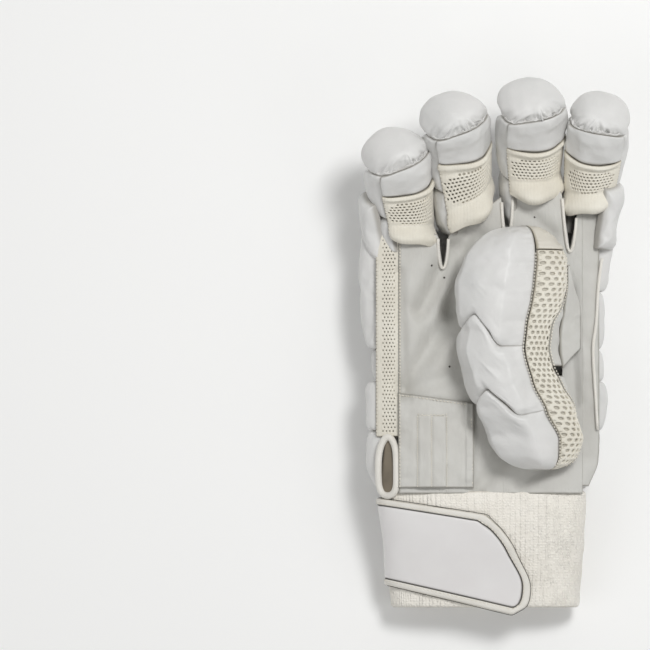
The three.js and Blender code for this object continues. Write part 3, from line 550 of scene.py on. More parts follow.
# Woven cotton tape for bindings and piping: a fine diagonal twill, matt.
def makeTape():
    surface = newSurface("cotton_tape_twill")
    addHandledColourAndSeamShade(surface, "#e9e6df", "#dfdbd2", "#c6c0b4", 0.012, 0.5)
    twill = {"Scale": 1 / (0.0009 * 3.2), "Distortion": 0.8, "bands_direction": "DIAGONAL"}
    addRelief(surface, "Wave", twill, 0.4, 0.00018)
    return finishSurface(surface, {"Roughness": 0.85, "Sheen Weight": 0.15})


# Cotton drill lining inside the glove, greyed by use. The same drill backs the knit, and a dark copy of it is
# painted shadow in the wrist slit's opening.
def makeLining(name, light, shade, seamShade):
    surface = newSurface(name)
    addHandledColourAndSeamShade(surface, light, shade, seamShade, 0.02, 1.5)
    addRelief(surface, "Noise", {"Scale": 1 / 0.0012, "Detail": 3.0}, 0.3, 0.0002)
    return finishSurface(surface, {"Roughness": 0.95})


# Sewing thread: twisted polyester with a slight shine. Dark copies make the strap's edge line and the painted
# shadows under the strap's edge and in the air holes.
def makeThread(name, light, shade):
    surface = newSurface(name)
    twist = addRelief(surface, "Noise", {"Scale": 1 / 0.0008}, 0.3, 0.0001)
    surface["colour"] = blendColours(surface["tree"], twist, light, shade)
    return finishSurface(surface, {"Roughness": 0.6})


finish = {
    "padLeather": makePadLeather(),
    # Painted shade: this sheepskin's grey tone is partly its own and partly the shade of the palm's hollow,
    # on every piece that uses it.
    "palmLeather": makePalmLeather("soft_sheepskin_matt_shaded", "#cfcec9", "#c2c0ba", "#a19e96"),
    "flapLeather": makePalmLeather("soft_sheepskin_cream", "#dcd8ce", "#cec8bb", "#aca594"),
    "knit": makeKnit(),
    "towelling": makeTowelling(),
    "strap": makeStrapLeather(),
    "tape": makeTape(),
    "lining": makeLining("cotton_drill_lining", "#b3ab9c", "#978f81", "#7d766a"),
    "backing": makeLining("cotton_drill_backing", "#c9c5bb", "#bdb8ad", "#aaa498"),
    "slitShadow": makeLining("painted_shadow_drill", "#857b6c", "#6f675a", "#5d564b"),
    "thread": makeThread("sewing_thread_cream", "#f1ede3", "#d9d2c2"),
    "darkLineAndShadow": makeThread("dark_edge_line_and_shadow", "#55534f", "#3f3e3c"),
    "hole": makeThread("punched_hole_shadow", "#4b463f", "#37332e"),
}
print("materials made")


# Reads where a sheet's corners lie on the flat cloth, but does nothing more with them: no area or seam
# allowance is worked out.
def declareSheet(piece):
    corners = readAll(piece.data.uv_layers["cloth"].data, "uv", 2)


# Every piece gets its materials and rides on the one body. Most stand for a solid.
def place(piece, material, node=None, form=None, fill=0.75):
    piece.data.materials.clear()
    piece.data.materials.append(finish[material])
    if max(polygon.material_index for polygon in piece.data.polygons) > 0:
        piece.data.materials.append(finish["lining"])
    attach(piece, "root")
    if node:
        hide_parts(node)
    if form == "sheet":
        declareSheet(piece)


# The wall of a stuffed pad: full in the middle, rounding down to its seams.
def padWall(full, look):
    def wall(u, v, seam):
        return full(u, v) * look["fullness"] * mix(look["edge"], 1, roundOff(seam, look["radius"]))
    return wall


def thinWall(wall, edge=0.7, radius=1.2):
    return lambda u, v, seam: wall * mix(edge, 1, roundOff(seam, radius))


# A padded piece in leather. Its look says how it is stuffed, refined, cut and wrinkled.
def makePad(node, sheet, wall, look, seed, lining=True, **options):
    pad = makeSlab(node + "_leather", sheet, wall, look["spacing"], lining=lining, **options)
    if look["stuffing"]:
        stuff(pad, look["stuffing"])
    refine(pad, look["levels"])
    if "facet" in look:
        cutPlanes(pad, look)
    wrinkle(pad, look["dents"], look["size"], look["creases"], seed)
    place(pad, "padLeather", node, "padded")
    return pad


finger = {
    "length": 87, "width": 37, "depth": 35, "dome": 17, "pole": 9, "startPitch": math.radians(5),
    "square": 2.3, "pad": 11, "side": 5.5, "sideTurn": (35, 90), "backTurn": (95, 165),
    "domePull": 0.6, "domePower": 0.85,
    "wrapStart": 0.76, "baseRollEnd": 0.42, "capPalm": 1.46, "capBack": 0.8, "palmEdge": math.radians(80),
    "backOverlap": 0.03, "seam": 0.6,
}
fingerBase = hand["palmHeight"] - hand["leather"] - (finger["depth"] - hand["leather"] - finger["pad"]) / 2
fingerSection = {"along": [0, 0.35, 0.75, 1], "width": [0.76, 0.86, 0.97, 1], "depth": [1.12, 1.04, 1, 0.97]}
fingers = [
    {"name": "little", "x": -0.335, "y": 0.365, "lean": 7, "length": 0.8, "width": 1, "curl": 65, "roll": 32,
     "meshLeft": 0.2, "meshRight": 0.0,
     "padFrom": -0.08, "padTo": 0.6, "padHigh": 100, "padLow": 146, "padOver": 1},
    {"name": "ring", "x": -0.1, "y": 0.43, "lean": 7, "length": 0.94, "width": 1, "curl": 66, "roll": 28,
     "meshLeft": 0.04, "meshRight": 0.32},
    {"name": "middle", "x": 0.148, "y": 0.45, "lean": 0, "length": 1, "width": 1, "curl": 68, "roll": 22,
     "meshLeft": 0.3, "meshRight": 0.3},
    {"name": "index", "x": 0.362, "y": 0.42, "lean": -5, "length": 0.94, "width": 0.92, "curl": 64,
     "roll": -10, "meshLeft": 0.2, "meshRight": 0.36,
     "padFrom": -0.12, "padTo": 0.5, "padHigh": 44, "padLow": 100, "padOver": 0},
]


def fingerWall(angle):
    turn = np.arccos(np.cos(angle))
    sideShare = smooth(turn, *np.radians(finger["sideTurn"]))
    backShare = smooth(turn, *np.radians(finger["backTurn"]))
    return mix(mix(hand["leather"], finger["side"], sideShare), finger["pad"], backShare)


def straightLength(one):  # the finger's length up to where its tip rounds off
    return finger["length"] * one["length"] - finger["dome"]


# place runs 0 to 1 along the finger and 1 to 2 over its tip, angle is from the palm side.
def fingerPoint(one, place, angle, lift):
    place, angle, lift = np.broadcast_arrays(place, angle, lift)
    length = finger["length"] * one["length"]
    curl = math.radians(one["curl"]) - finger["startPitch"]
    straight = np.minimum(place, 1)
    dome = np.maximum(0, place - 1) * math.pi / 2
    poleLift = np.where(lift > 0, finger["pole"], 0)
    reach = finger["dome"] - finger["domePull"] * (finger["pad"] - mix(lift, poleLift, np.sin(dome)))
    travel = straight * straightLength(one) + reach * np.sin(dome)
    pitch = finger["startPitch"] + curl * travel / length
    bend = length / curl
    forward = bend * (np.sin(pitch) - math.sin(finger["startPitch"]))
    rise = bend * (math.cos(finger["startPitch"]) - np.cos(pitch))
    lean = math.radians(one["lean"])
    heading = np.array([-math.sin(lean), math.cos(lean)])
    widthHere = readTable(fingerSection, "width", straight)
    depthHere = readTable(fingerSection, "depth", straight)
    halfWidth = finger["width"] * one["width"] * widthHere / 2 - finger["side"]
    halfDepth = (finger["depth"] * depthHere - hand["leather"] - finger["pad"]) / 2
    close = np.where(dome < math.pi / 2 - 1e-9, np.maximum(np.cos(dome), 0) ** finger["domePower"], 0)
    turned = angle + math.radians(one["roll"])
    side, up = roundedSquare(turned, finger["square"])
    reachSide = (halfWidth * side + lift * np.sin(turned)) * close
    reachUp = (halfDepth * up + lift * np.cos(turned)) * close
    back = forward - np.sin(pitch) * reachUp
    return stack(
        across(one["x"]) + heading[0] * back + math.cos(lean) * reachSide,
        along(one["y"]) + heading[1] * back + math.sin(lean) * reachSide,
        fingerBase + rise + np.cos(pitch) * reachUp,
    )


def meshFrom(one, angle):
    turn = np.arctan2(np.sin(angle), np.cos(angle))
    share = np.clip((turn + finger["palmEdge"]) / (2 * finger["palmEdge"]), 0, 1)
    return mix(one["meshLeft"], one["meshRight"], share)


def capStart(angle):
    return mix(finger["capPalm"], finger["capBack"], (1 - np.cos(angle)) / 2)


# Sheet, and the angle at each place of it, of a finger's piece between angles and two ends.
def fingerPart(one, first, last, start, end):
    def angleAt(u):
        return mix(first, last, u)

    def sheet(u, v, lift):
        angle = angleAt(u)
        return fingerPoint(one, mix(start(angle), end(angle), v), angle, lift)
    return sheet, angleAt


tipCap = {
    "spacing": 1.7, "fullness": 1.06, "edge": 0.62, "radius": 7, "stuffing": 0.8, "levels": 2,
    "dents": 0.5, "size": 22,
    "creases": [("b", 12, 17, 0.7, 1.3, 0, 0.2), ("b", 15, 17, 0.7, 1.3, 0.74, 1),
                ("b", 22, 7, 0.8, 0.35, 0.2, 0.74)],
}
palmWrap = {
    "spacing": 1.8, "fullness": 1.12, "edge": 0.84, "radius": 5, "stuffing": 0, "levels": 1,
    "dents": 0.5, "size": 16, "creases": [("t", 9, 4, 0.7, 0.15)],
}
fingerRoll = {
    "spacing": 2.2, "fullness": 1.02, "edge": 0.7, "radius": 6, "stuffing": 0.6, "levels": 1,
    "dents": 0.3, "size": 22, "creases": [("b", 12, 6, 0.9, 0.3), ("t", 12, 6, 0.9, 0.3)],
}


def buildFingers():
    palmAngles = (-finger["palmEdge"], finger["palmEdge"])
    backFirst = finger["palmEdge"] - finger["backOverlap"]
    backAngles = (backFirst, 2 * math.pi - backFirst)
    for number, one in enumerate(fingers):
        seam = finger["seam"] / straightLength(one)
        rollEnd = finger["baseRollEnd"]
        seed = 10 * number + 3

        def beforeCap(angle):
            return capStart(angle) + seam

        parts = [
            ("tip_cap", tipCap, seed, (0, 2 * math.pi), capStart, steady(2), {"seams": "b", "ring": True}),
            ("palm_wrap", palmWrap, seed + 1, palmAngles, steady(finger["wrapStart"]), beforeCap, {}),
            ("mid_roll", fingerRoll, seed + 2, backAngles, steady(rollEnd), beforeCap, {}),
            ("base_roll", fingerRoll, seed + 2, backAngles, steady(0), steady(rollEnd + 0.5 * seam), {}),
        ]
        for part, look, partSeed, angles, start, end, options in parts:
            sheet, angleAt = fingerPart(one, *angles, start, end)
            wall = padWall(lambda u, v: fingerWall(angleAt(u)), look)
            makePad(f"{one['name']}_{part}", sheet, wall, look, partSeed, **options)
    print("finger pads made")


# A mesh has a rolled hem, a raised trim and two grooves, each at a share of its length with a width.
fingerMesh = {
    "cell": 2.3, "wall": 1.9, "band": 1.5, "seam": 0.5, "underShare": 0.9, "over": 0.5,
    "open": 0.6, "openAngle": math.radians(62), "middle": 0.56, "openHalf": 0.25, "rollShare": 0.4,
    "hem": (0.11, 0.1), "hemRise": 4.4, "trim": (0.93, 0.045), "trimRise": 1.9,
    "grooves": [(0.29, 0.05), (0.83, 0.04)], "grooveDepth": 1.1, "lipFrom": 0.74, "lipDrop": 0.07,
    "bow": 3.0, "bowPower": 0.7, "waves": 11, "waveStep": 2, "waveRise": 1.2, "waveDrop": 0.016,
    "trimWave": 0.4,
}
backing = {"wall": 0.5, "thumbWall": 0.6, "spacing": 2.4}


def buildFingerMeshes():
    look = fingerMesh
    for number, one in enumerate(fingers):
        end = finger["wrapStart"] + look["seam"] / straightLength(one)
        sheet, angleAt = fingerPart(one, -finger["palmEdge"], finger["palmEdge"],
                                    lambda angle: meshFrom(one, angle), steady(end))

        def flared(u, v, lift):
            angle = angleAt(u)
            wave = np.sin(look["waves"] * u + look["waveStep"] * number)
            hem, trim = [bump(v - middle, width) for middle, width in (look["hem"], look["trim"])]
            groove = sum(bump(v - middle, width) for middle, width in look["grooves"])
            bow = np.cos((u - 0.5) * look["bow"]) ** look["bowPower"]
            drop = smooth(1 - v, look["lipFrom"], 1.0) * (look["lipDrop"] * bow + look["waveDrop"] * wave)
            rise = bow * (look["hemRise"] * hem + look["trimRise"] * trim - look["grooveDepth"] * groove)
            rise = rise + look["waveRise"] * wave * (hem + look["trimWave"] * trim)
            skin = fingerWall(angle) * look["underShare"] + look["over"] - look["wall"]
            return fingerPoint(one, mix(meshFrom(one, angle), end, v) - drop, angle, skin + rise + lift)

        def holes(u, v):
            turned = (angleAt(u) + math.radians(one["roll"]) * look["rollShare"]) / look["openAngle"]
            high = (v - look["middle"]) / look["openHalf"]
            return look["open"] if turned ** 2 + high ** 4 < 1 else 0

        name = one["name"] + "_mesh"
        net = makeNet(name + "_knit", flared, look["cell"], look["wall"], holes, look["band"])
        place(net, "knit", name, "sheet")
        under = makeSlab(name + "_lining", sheet, thinWall(backing["wall"]), backing["spacing"], lining=True)
        place(under, "backing", form="sheet")
    print("finger meshes made")


handSection = {
    "along": [-0.548, -0.43, -0.2, 0, 0.2, 0.45],
    "left": [-0.462, -0.5, -0.5, -0.51, -0.53, -0.53],
    "right": [0.362, 0.41, 0.44, 0.435, 0.44, 0.47],
    "back": [0.24, 0.34, 0.44, 0.46, 0.44, 0.36],
}
palmShape = {
    "overLeft": 2, "overRight": 3, "rollEnd": 0.985, "rollPower": 5,
    "cup": 5, "cupX": 0.02, "cupY": 0.12, "cupWidth": 0.26, "cupLength": 0.34,
}
cavityMiddle = hand["palmHeight"] - hand["leather"] - hand["cavity"] / 2


def handEdge(side, y):
    return across(readTable(handSection, side, y / hand["length"]))


def palmSheetsLeft(y):
    return np.maximum(across(hand["meshLeft"]), handEdge("left", y))


def palmSheetsRight(y):
    return np.minimum(across(hand["panelRight"]), handEdge("right", y))


# Height of the palm's skin: a shallow cup that rolls off to both sides.
def palmSkin(x, y):
    left = handEdge("left", y) - palmShape["overLeft"]
    right = handEdge("right", y) + palmShape["overRight"]
    reach = np.clip(np.abs(x - (left + right) / 2) / ((right - left) / 2), 0, palmShape["rollEnd"])
    roll = (1 - reach ** palmShape["rollPower"]) ** 0.5
    cup = palmShape["cup"] * bump(x - across(palmShape["cupX"]), across(palmShape["cupWidth"]))
    cup = cup * bump(y - along(palmShape["cupY"]), along(palmShape["cupLength"]))
    return hand["palmHeight"] - hand["cavity"] / 2 * (1 - roll) - cup


# Folds of the palm: each a valley from one place to another, with its half width and depth, in mm.
palmFolds = [
    ((-24, 54), (-40, 20), 5.5, 6.4),
    ((-16, 60), (-24, 20), 5, 6.4),
    ((-24, 20), (-50, -22), 6, 6),
    ((-49, -24), (-20, -14), 5, 3.0),
    ((-53, 40), (-50, -24), 3, 3),
    ((-14, -40), (-4, -16), 5, 3.3),
    ((-14, 66), (6, 44), 4, 3.6),
    ((8, 80), (30, 62), 4, 2.4),
    ((4, 54), (8, 30), 3.5, 2.1),
    ((14, -74), (34, -60), 4, 3.3),
    ((-10, -78), (4, -58), 4.5, 3.9),
    ((40, 30), (43, -30), 3.5, 2.4),
]


def foldDepth(x, y):
    total = np.zeros(np.shape(x))
    for start, end, width, depth in palmFolds:
        wayX, wayY = end[0] - start[0], end[1] - start[1]
        t = np.clip(((x - start[0]) * wayX + (y - start[1]) * wayY) / (wayX ** 2 + wayY ** 2), 0, 1)
        total += depth * bump(np.hypot(x - start[0] - t * wayX, y - start[1] - t * wayY), width)
    return total


# A sheet of the palm whose x and y are functions of (u, v); lift 0 is its underside.
def palmSheet(xAt, yAt, wall, raised=0.0):
    def sheet(u, v, lift):
        x, y = xAt(u, v), yAt(u, v)
        return stack(x, y, palmSkin(x, y) + raised - wall + lift - foldDepth(x, y))
    return sheet


palmEdge = {
    "x": [-0.393, -0.235, -0.212, -0.188, -0.1, 0.02, 0.045, 0.07, 0.16, 0.262, 0.295, 0.325, 0.346],
    "y": [0.44, 0.42, 0.3, 0.42, 0.48, 0.56, 0.4, 0.58, 0.61, 0.58, 0.36, 0.5, 0.5],
}
palmParts = {
    "spacing": 1.0, "dents": 0.3, "size": 26,
    "creases": [("b", 26, 7, 1.0, 0.35, 0.1, 1), ("l", 12, 6, 1.1, 0.22)],
}
sidePanel = {
    "from": -0.52, "to": 0.62, "underlap": 1.0, "raised": -0.5, "spacing": 1.2, "dents": 0.4, "size": 14,
}
sideMesh = {
    "from": -0.335, "to": 0.5, "underlap": 1.0, "raised": -0.5, "cell": 2.0, "band": 1.2,
    "open": 0.37, "openFrom": 0.24, "openTo": 0.82, "closedEnd": 0.02,
}
heelPatch = {
    "left": -0.392, "right": -0.09, "low": -0.526, "topLeft": -0.17, "topRight": -0.211,
    "tapes": [(-42.2, -35.6, -37.8, 0.85), (-34.8, -27.4, -37.8, 0.85), (-16.6, -10.0, -20.0, 0.9)],
    "tapeEdge": 0.4, "tapeEnd": 0.5, "puff": 0.4, "spacing": 0.62, "dents": 0.35, "size": 13,
    "creases": [("t", 14, 9, 1.1, 0.3), ("l", 8, 14, 1.2, 0.3), ("r", 7, 9, 1.2, 0.3)],
}


# Tapes sewn on the heel patch: each raised between two places across, up to its top, in mm.
def heelRelief(x, y):
    total = 0 * x
    edge, end = heelPatch["tapeEdge"], heelPatch["tapeEnd"]
    for left, right, top, high in heelPatch["tapes"]:
        inside = smooth(x, left - edge, left + edge) * (1 - smooth(x, right - edge, right + edge))
        total = total + high * inside * (1 - smooth(y, top - end, top + end))
    return total


# The palm is open under the thumb, where the thumb's stall joins the hand. Heights are in mm.
thumbHole = {"left": 0.1, "right": 0.265, "top": -0.05, "bottom": -0.14, "corner": 6, "heights": (10, 90)}


def cutThumbHole(palm):
    low = toFrame([across(thumbHole["left"]), along(thumbHole["bottom"]), thumbHole["heights"][0]])
    high = toFrame([across(thumbHole["right"]), along(thumbHole["top"]), thumbHole["heights"][1]])
    block = bmesh.new()
    bmesh.ops.create_cube(block, size=1)
    for vertex in block.verts:
        vertex.co = Vector([mix(low[k], high[k], vertex.co[k] + 0.5) for k in range(3)])
    upright = [edge for edge in block.edges if abs(edge.verts[0].co.z - edge.verts[1].co.z) > 0.01]
    bmesh.ops.bevel(block, geom=upright, offset=thumbHole["corner"] / 1000, segments=6, affect="EDGES",
                    profile=0.5)
    mesh = bpy.data.meshes.new("thumb_hole")
    block.to_mesh(mesh)
    block.free()
    cutter = addObject("thumb_hole", mesh)
    cut = palm.modifiers.new("thumb_hole", "BOOLEAN")
    cut.object = cutter
    cut.operation = "DIFFERENCE"
    cut.solver = "EXACT"
    settle(palm)
    bpy.data.objects.remove(cutter)


def buildPalm():
    def edgeAt(column, u):
        count = len(palmEdge["x"])
        return np.interp(np.asarray(u) * (count - 1), range(count), palmEdge[column])

    sheet = palmSheet(lambda u, v: across(edgeAt("x", u)),
                      lambda u, v: mix(along(hand["heelEnd"]), along(edgeAt("y", u)), v), hand["leather"])
    palm = makeSlab("palm_sheepskin", sheet, thinWall(hand["leather"]), palmParts["spacing"], lining=True)
    cutThumbHole(palm)
    wrinkle(palm, palmParts["dents"], palmParts["size"], palmParts["creases"], 31)
    place(palm, "palmLeather", "palm_leather", "sheet")
    print("palm made")


def buildHeelPatch():
    def sheet(u, v, lift):
        x = mix(across(heelPatch["left"]), across(heelPatch["right"]), u)
        y = mix(along(heelPatch["low"]), along(mix(heelPatch["topLeft"], heelPatch["topRight"], u)), v)
        puff = heelPatch["puff"] * np.sqrt(np.clip(np.sin(math.pi * v) * np.sin(math.pi * u), 0, 1))
        raised = np.where(lift > 0, heelRelief(x, y) + puff, 0)
        return stack(x, y, palmSkin(x, y) + hand["gap"] + lift + raised - foldDepth(x, y))

    heel = makeSlab("heel_patch_sheepskin", sheet, thinWall(hand["leather"]), heelPatch["spacing"])
    wrinkle(heel, heelPatch["dents"], heelPatch["size"], heelPatch["creases"], 37)
    place(heel, "palmLeather", "heel_patch", "sheet")


def buildPalmSides():
    def panelY(u, v):
        return mix(along(sidePanel["from"]), along(sidePanel["to"]), v)

    def panelX(u, v):
        return mix(across(hand["palmRight"]) - sidePanel["underlap"], palmSheetsRight(panelY(u, v)), u)

    sheet = palmSheet(panelX, panelY, hand["leather"], sidePanel["raised"])
    wall = thinWall(hand["leather"])
    panel = makeSlab("side_panel_sheepskin", sheet, wall, sidePanel["spacing"], lining=True)
    wrinkle(panel, sidePanel["dents"], sidePanel["size"], (), 41)
    place(panel, "palmLeather", "side_panel", "sheet")

    def stripY(u, v):
        return mix(along(sideMesh["from"]), along(sideMesh["to"]), v)

    def stripX(u, v):
        return mix(palmSheetsLeft(stripY(u, v)), across(hand["palmLeft"]) + sideMesh["underlap"], u)

    def holes(u, v):
        isOpen = sideMesh["openFrom"] < u < sideMesh["openTo"] and v > sideMesh["closedEnd"]
        return sideMesh["open"] if isOpen else 0

    sheet = palmSheet(stripX, stripY, hand["knit"], sideMesh["raised"])
    strip = makeNet("side_mesh_knit", sheet, sideMesh["cell"], hand["knit"], holes, sideMesh["band"])
    place(strip, "knit", "side_mesh", "sheet")
    print("palm's sides made")


# Rows hold the two ends, how far the row swells, its shifts at left and right, and its first turn.
backRolls = {
    "rows": [
        (0.205, 0.4, 1, 0, 0.01, -0.6),
        (-0.011, 0.205, 1, 0, 0, -0.6),
        (-0.13, -0.011, 0.9, 0.008, 0, -1),
        (-0.314, -0.13, 1, -0.022, 0.01, -1),
        (-0.53, -0.314, 0.96, -0.02, 0, -1),
    ],
    "wrap": math.radians(118), "square": 2.6, "inset": 0.45, "topRow": 0.3, "topBow": 0.05, "bowTurn": 1.6,
    "groove": 0.24, "groovePower": 10, "columnTurn": 0.4, "lastGroove": 0.7,
    "spacing": 2.4, "edge": 0.66, "radius": 8, "stuffing": 0, "levels": 1,
    "dents": 0.4, "size": 20, "creases": [("b", 34, 8, 1.0, 0.35), ("t", 34, 8, 1.0, 0.35)],
}
sideBar = {
    "topTurn": -1, "lowTurn": -0.612, "from": -0.009, "to": 0.44, "seat": 0.25,
    "spacing": 2.2, "fullness": 1.06, "edge": 0.62, "radius": 6, "stuffing": 0.6, "levels": 1,
    "dents": 0.3, "size": 22, "creases": [("l", 16, 5, 0.9, 0.25)],
}
knucklePad = {
    "swell": 8, "wallShare": 0.55, "spacing": 1.8, "fullness": 1.0, "edge": 0.2, "radius": 9,
    "stuffing": 0.5, "levels": 1, "dents": 0.25, "size": 22, "creases": [("t", 8, 5, 0.8, 0.3)],
}


# turn runs -1 to 1 round the back of the hand, lift 0 to 1 from the inside to the skin.
def backPoint(turn, y, lift, swell=1.0, leftShift=0.0, rightShift=0.0):
    leftEdge = palmSheetsLeft(y) - hand["gap"]
    rightEdge = palmSheetsRight(y) + hand["gap"]
    outLeft = handEdge("left", y) + across(leftShift)
    outRight = handEdge("right", y) + across(rightShift)
    side, up = roundedSquare(math.pi + turn * backRolls["wrap"], backRolls["square"])
    innerHalf = (rightEdge - leftEdge) / 2 - hand["sidePad"] * backRolls["inset"]
    innerX = (leftEdge + rightEdge) / 2 - side * innerHalf
    innerZ = cavityMiddle + up * hand["cavity"] / 2
    hang = hand["depth"] * readTable(handSection, "back", y / hand["length"]) * swell
    outerUp = np.where(up > 0, up * hand["cavity"] / 2, up * (hand["cavity"] / 2 + hang))
    outerX = (outLeft + outRight) / 2 - side * (outRight - outLeft) / 2
    return stack(mix(innerX, outerX, lift), y, mix(innerZ, cavityMiddle + outerUp, lift))


# Leather lies flat where it rests on a table.
def flattenUnder(piece):
    spots = spotsOf(piece.data)
    spots[:, 2] = np.maximum(spots[:, 2], 0)
    moveTo(piece.data, spots)


def buildBackRolls():
    look = backRolls
    for number, (low, high, swell, left, right, start) in enumerate(look["rows"]):
        isTop = high > look["topRow"]

        def sheet(u, v, lift):
            turn = mix(start, 1, u)
            bow = look["topBow"] * np.cos(turn * look["bowTurn"]) if isTop else 0
            y = mix(along(low), along(high + bow) + (0 if isTop else 2 * hand["gap"]), v)
            point = backPoint(turn, y, lift, swell, left, right)
            point[..., 2] = np.maximum(point[..., 2], hand["rest"])
            return point

        def wall(u, v, seam):
            turn = mix(start, 1, u)
            groove = np.abs(np.cos(math.pi * turn / look["columnTurn"])) ** look["groovePower"]
            groove = groove * (np.abs(turn) < look["lastGroove"])
            return mix(look["edge"], 1, roundOff(seam, look["radius"])) - look["groove"] * groove

        flattenUnder(makePad(f"back_roll_{number + 1}", sheet, wall, look, 60 + number))
    print("back rolls made")


def buildSidePad():
    def sheet(u, v, lift):
        turn = mix(sideBar["topTurn"], sideBar["lowTurn"], u)
        y = mix(along(sideBar["from"]), along(sideBar["to"]), v)
        return backPoint(turn, y, np.where(lift > 0, lift, sideBar["seat"]))

    makePad("little_side_pad", sheet, padWall(lambda u, v: 1, sideBar), sideBar, 71)


def buildKnucklePads():
    for one in (fingers[0], fingers[3]):
        direction = math.copysign(1, one["x"])

        def sheet(u, v, lift):
            angle = direction * np.radians(mix(one["padHigh"], one["padLow"], u))
            wall = fingerWall(angle)
            under = one["padOver"] * wall
            over = np.maximum(knucklePad["wallShare"] * wall, under) + knucklePad["swell"] * lift
            reach = mix(one["padFrom"], one["padTo"], v)
            return fingerPoint(one, reach, angle, np.where(lift > 0, over, under))

        node = one["name"] + "_knuckle_pad"
        makePad(node, sheet, padWall(lambda u, v: 1, knucklePad), knucklePad, 77, lining=False)
    print("side and knuckle pads made")


thumb = {
    "width": 60, "length": 133, "depth": 36, "rise": -1, "pad": 10, "line": 0.059, "heel": -0.463,
    "under": math.radians(-128), "tipDome": 0.1, "heelDome": 0.06, "square": 2.4, "tipEnd": 0.9998,
    "flapStart": 0.9, "flapEdge": math.radians(100), "holeTop": 0.385, "holeGap": 0.04,
    "baseStart": 0.26, "baseEdge": math.radians(112), "padTurn": (0, 40), "padEnd": (110, 170),
}
thumbSeam = hand["gap"] / thumb["length"]
thumbTurn = hand["gap"] / thumb["width"] * 5
thumbSection = {
    "along": [0, 0.13, 0.24, 0.36, 0.49, 0.57, 0.66, 0.76, 0.86, 0.94],
    "left": [-0.06, -0.2, -0.3, -0.4, -0.48, -0.465, -0.5, -0.5, -0.43, -0.33],
    "right": [0.55, 0.65, 0.58, 0.48, 0.43, 0.43, 0.47, 0.5, 0.5, 0.44],
    "high": [0.7, 0.82, 0.94, 0.97, 0.98, 0.98, 1, 1, 0.94, 0.86],
}
thumbMeshEdge = {
    "along": [0.02, 0.13, 0.24, 0.33, 0.42, 0.5, 0.6, 0.69, 0.77, 0.95],
    "left": [24, 20, 13, 10, 8, 8, 10, 14, 15, 14],
    "right": [88, 102, 98, 64, 46, 44, 50, 74, 96, 96],
}
thumbZigzag = {"angle": [-128, -88, -46, -19, 40], "upper": [0.57, 0.575, 0.635, 0.5, 0.505],
               "lower": [0.25, 0.26, 0.33, 0.215, 0.27]}


def zigzag(column, shift=0.0):
    return lambda angle: np.interp(np.degrees(angle), thumbZigzag["angle"], thumbZigzag[column]) + shift


def thumbEdge(side, shift=0.0):
    return lambda place: np.radians(readTable(thumbMeshEdge, side, place)) + shift


def thumbWall(angle, place):
    fromMesh = thumbEdge("left")(place) - angle
    over = smooth(fromMesh, *np.radians(thumb["padTurn"]))
    return mix(hand["knit"], thumb["pad"], over * (1 - smooth(fromMesh, *np.radians(thumb["padEnd"]))))


def thumbPoint(place, angle, lift):
    intoTip = np.clip((place - (1 - thumb["tipDome"])) / thumb["tipDome"], 0, 1)
    intoHeel = np.clip((thumb["heelDome"] - place) / thumb["heelDome"], 0, 1)
    close = np.sqrt(np.maximum(0, 1 - np.maximum(intoTip, intoHeel) ** 2))
    left = readTable(thumbSection, "left", place) * thumb["width"] + thumb["pad"]
    right = readTable(thumbSection, "right", place) * thumb["width"] - hand["knit"]
    high = readTable(thumbSection, "high", place) * thumb["depth"] - thumb["pad"]
    side, up = roundedSquare(angle, thumb["square"])
    halfWidth = (right - left) / 2
    halfDepth = (high - hand["knit"]) / 2
    middle = hand["palmHeight"] + thumb["rise"] + hand["knit"] + halfDepth
    return stack(
        across(thumb["line"]) + (left + right) / 2 + (halfWidth * side + lift * np.sin(angle)) * close,
        along(thumb["heel"]) + thumb["length"] * place,
        middle + (halfDepth * up + lift * np.cos(angle)) * close,
    )


# A piece of the thumb between edges that depend on the place and ends that depend on the angle.
def thumbPart(leftEdge, rightEdge, start, end):
    def where(u, v):
        middle = (start(0.0) + end(0.0)) / 2
        angle = mix(leftEdge(middle), rightEdge(middle), u)
        place = mix(start(angle), end(angle), v)
        angle = mix(leftEdge(place), rightEdge(place), u)
        return angle, mix(start(angle), end(angle), v)

    def sheet(u, v, lift):
        angle, place = where(u, v)
        return thumbPoint(place, angle, lift)
    return sheet, where


thumbPads = {
    "spacing": 1.9, "fullness": 1.04, "edge": 0.6, "radius": 5, "stuffing": 0.35, "levels": 2,
    "facet": 1.25, "facetWidth": 18.5, "firstFacet": 9, "facetMargin": (0.5, 6), "ridgePower": 2.5,
    "ridgeSink": 0.3, "dents": 0.3, "size": 18,
}
thumbCreases = [
    [("r", 14, 11, 0.7, 0.4, 0.62, 1), ("b", 7, 6, 0.9, 0.2)],
    [("b", 8, 6, 0.9, 0.25), ("t", 8, 6, 0.9, 0.2)],
    [("t", 8, 7, 0.9, 0.3), ("b", 8, 7, 0.9, 0.25)],
]


# Flat faces along a thumb pad, as its foam is cut: the skin rises to a soft ridge between them.
def cutPlanes(piece, look):
    mesh = piece.data
    way = valuesOf(mesh, "way")
    faces = (way.max() - way - look["firstFacet"]) / look["facetWidth"]
    ridge = (np.abs(faces % 1 - 0.5) * 2) ** look["ridgePower"]
    share = valuesOf(mesh, "outer") * smooth(valuesOf(mesh, "seam"), *look["facetMargin"])
    move = look["facet"] * (ridge - look["ridgeSink"]) * share / 1000
    moveTo(mesh, spotsOf(mesh) + normalsOf(mesh) * move[:, None])


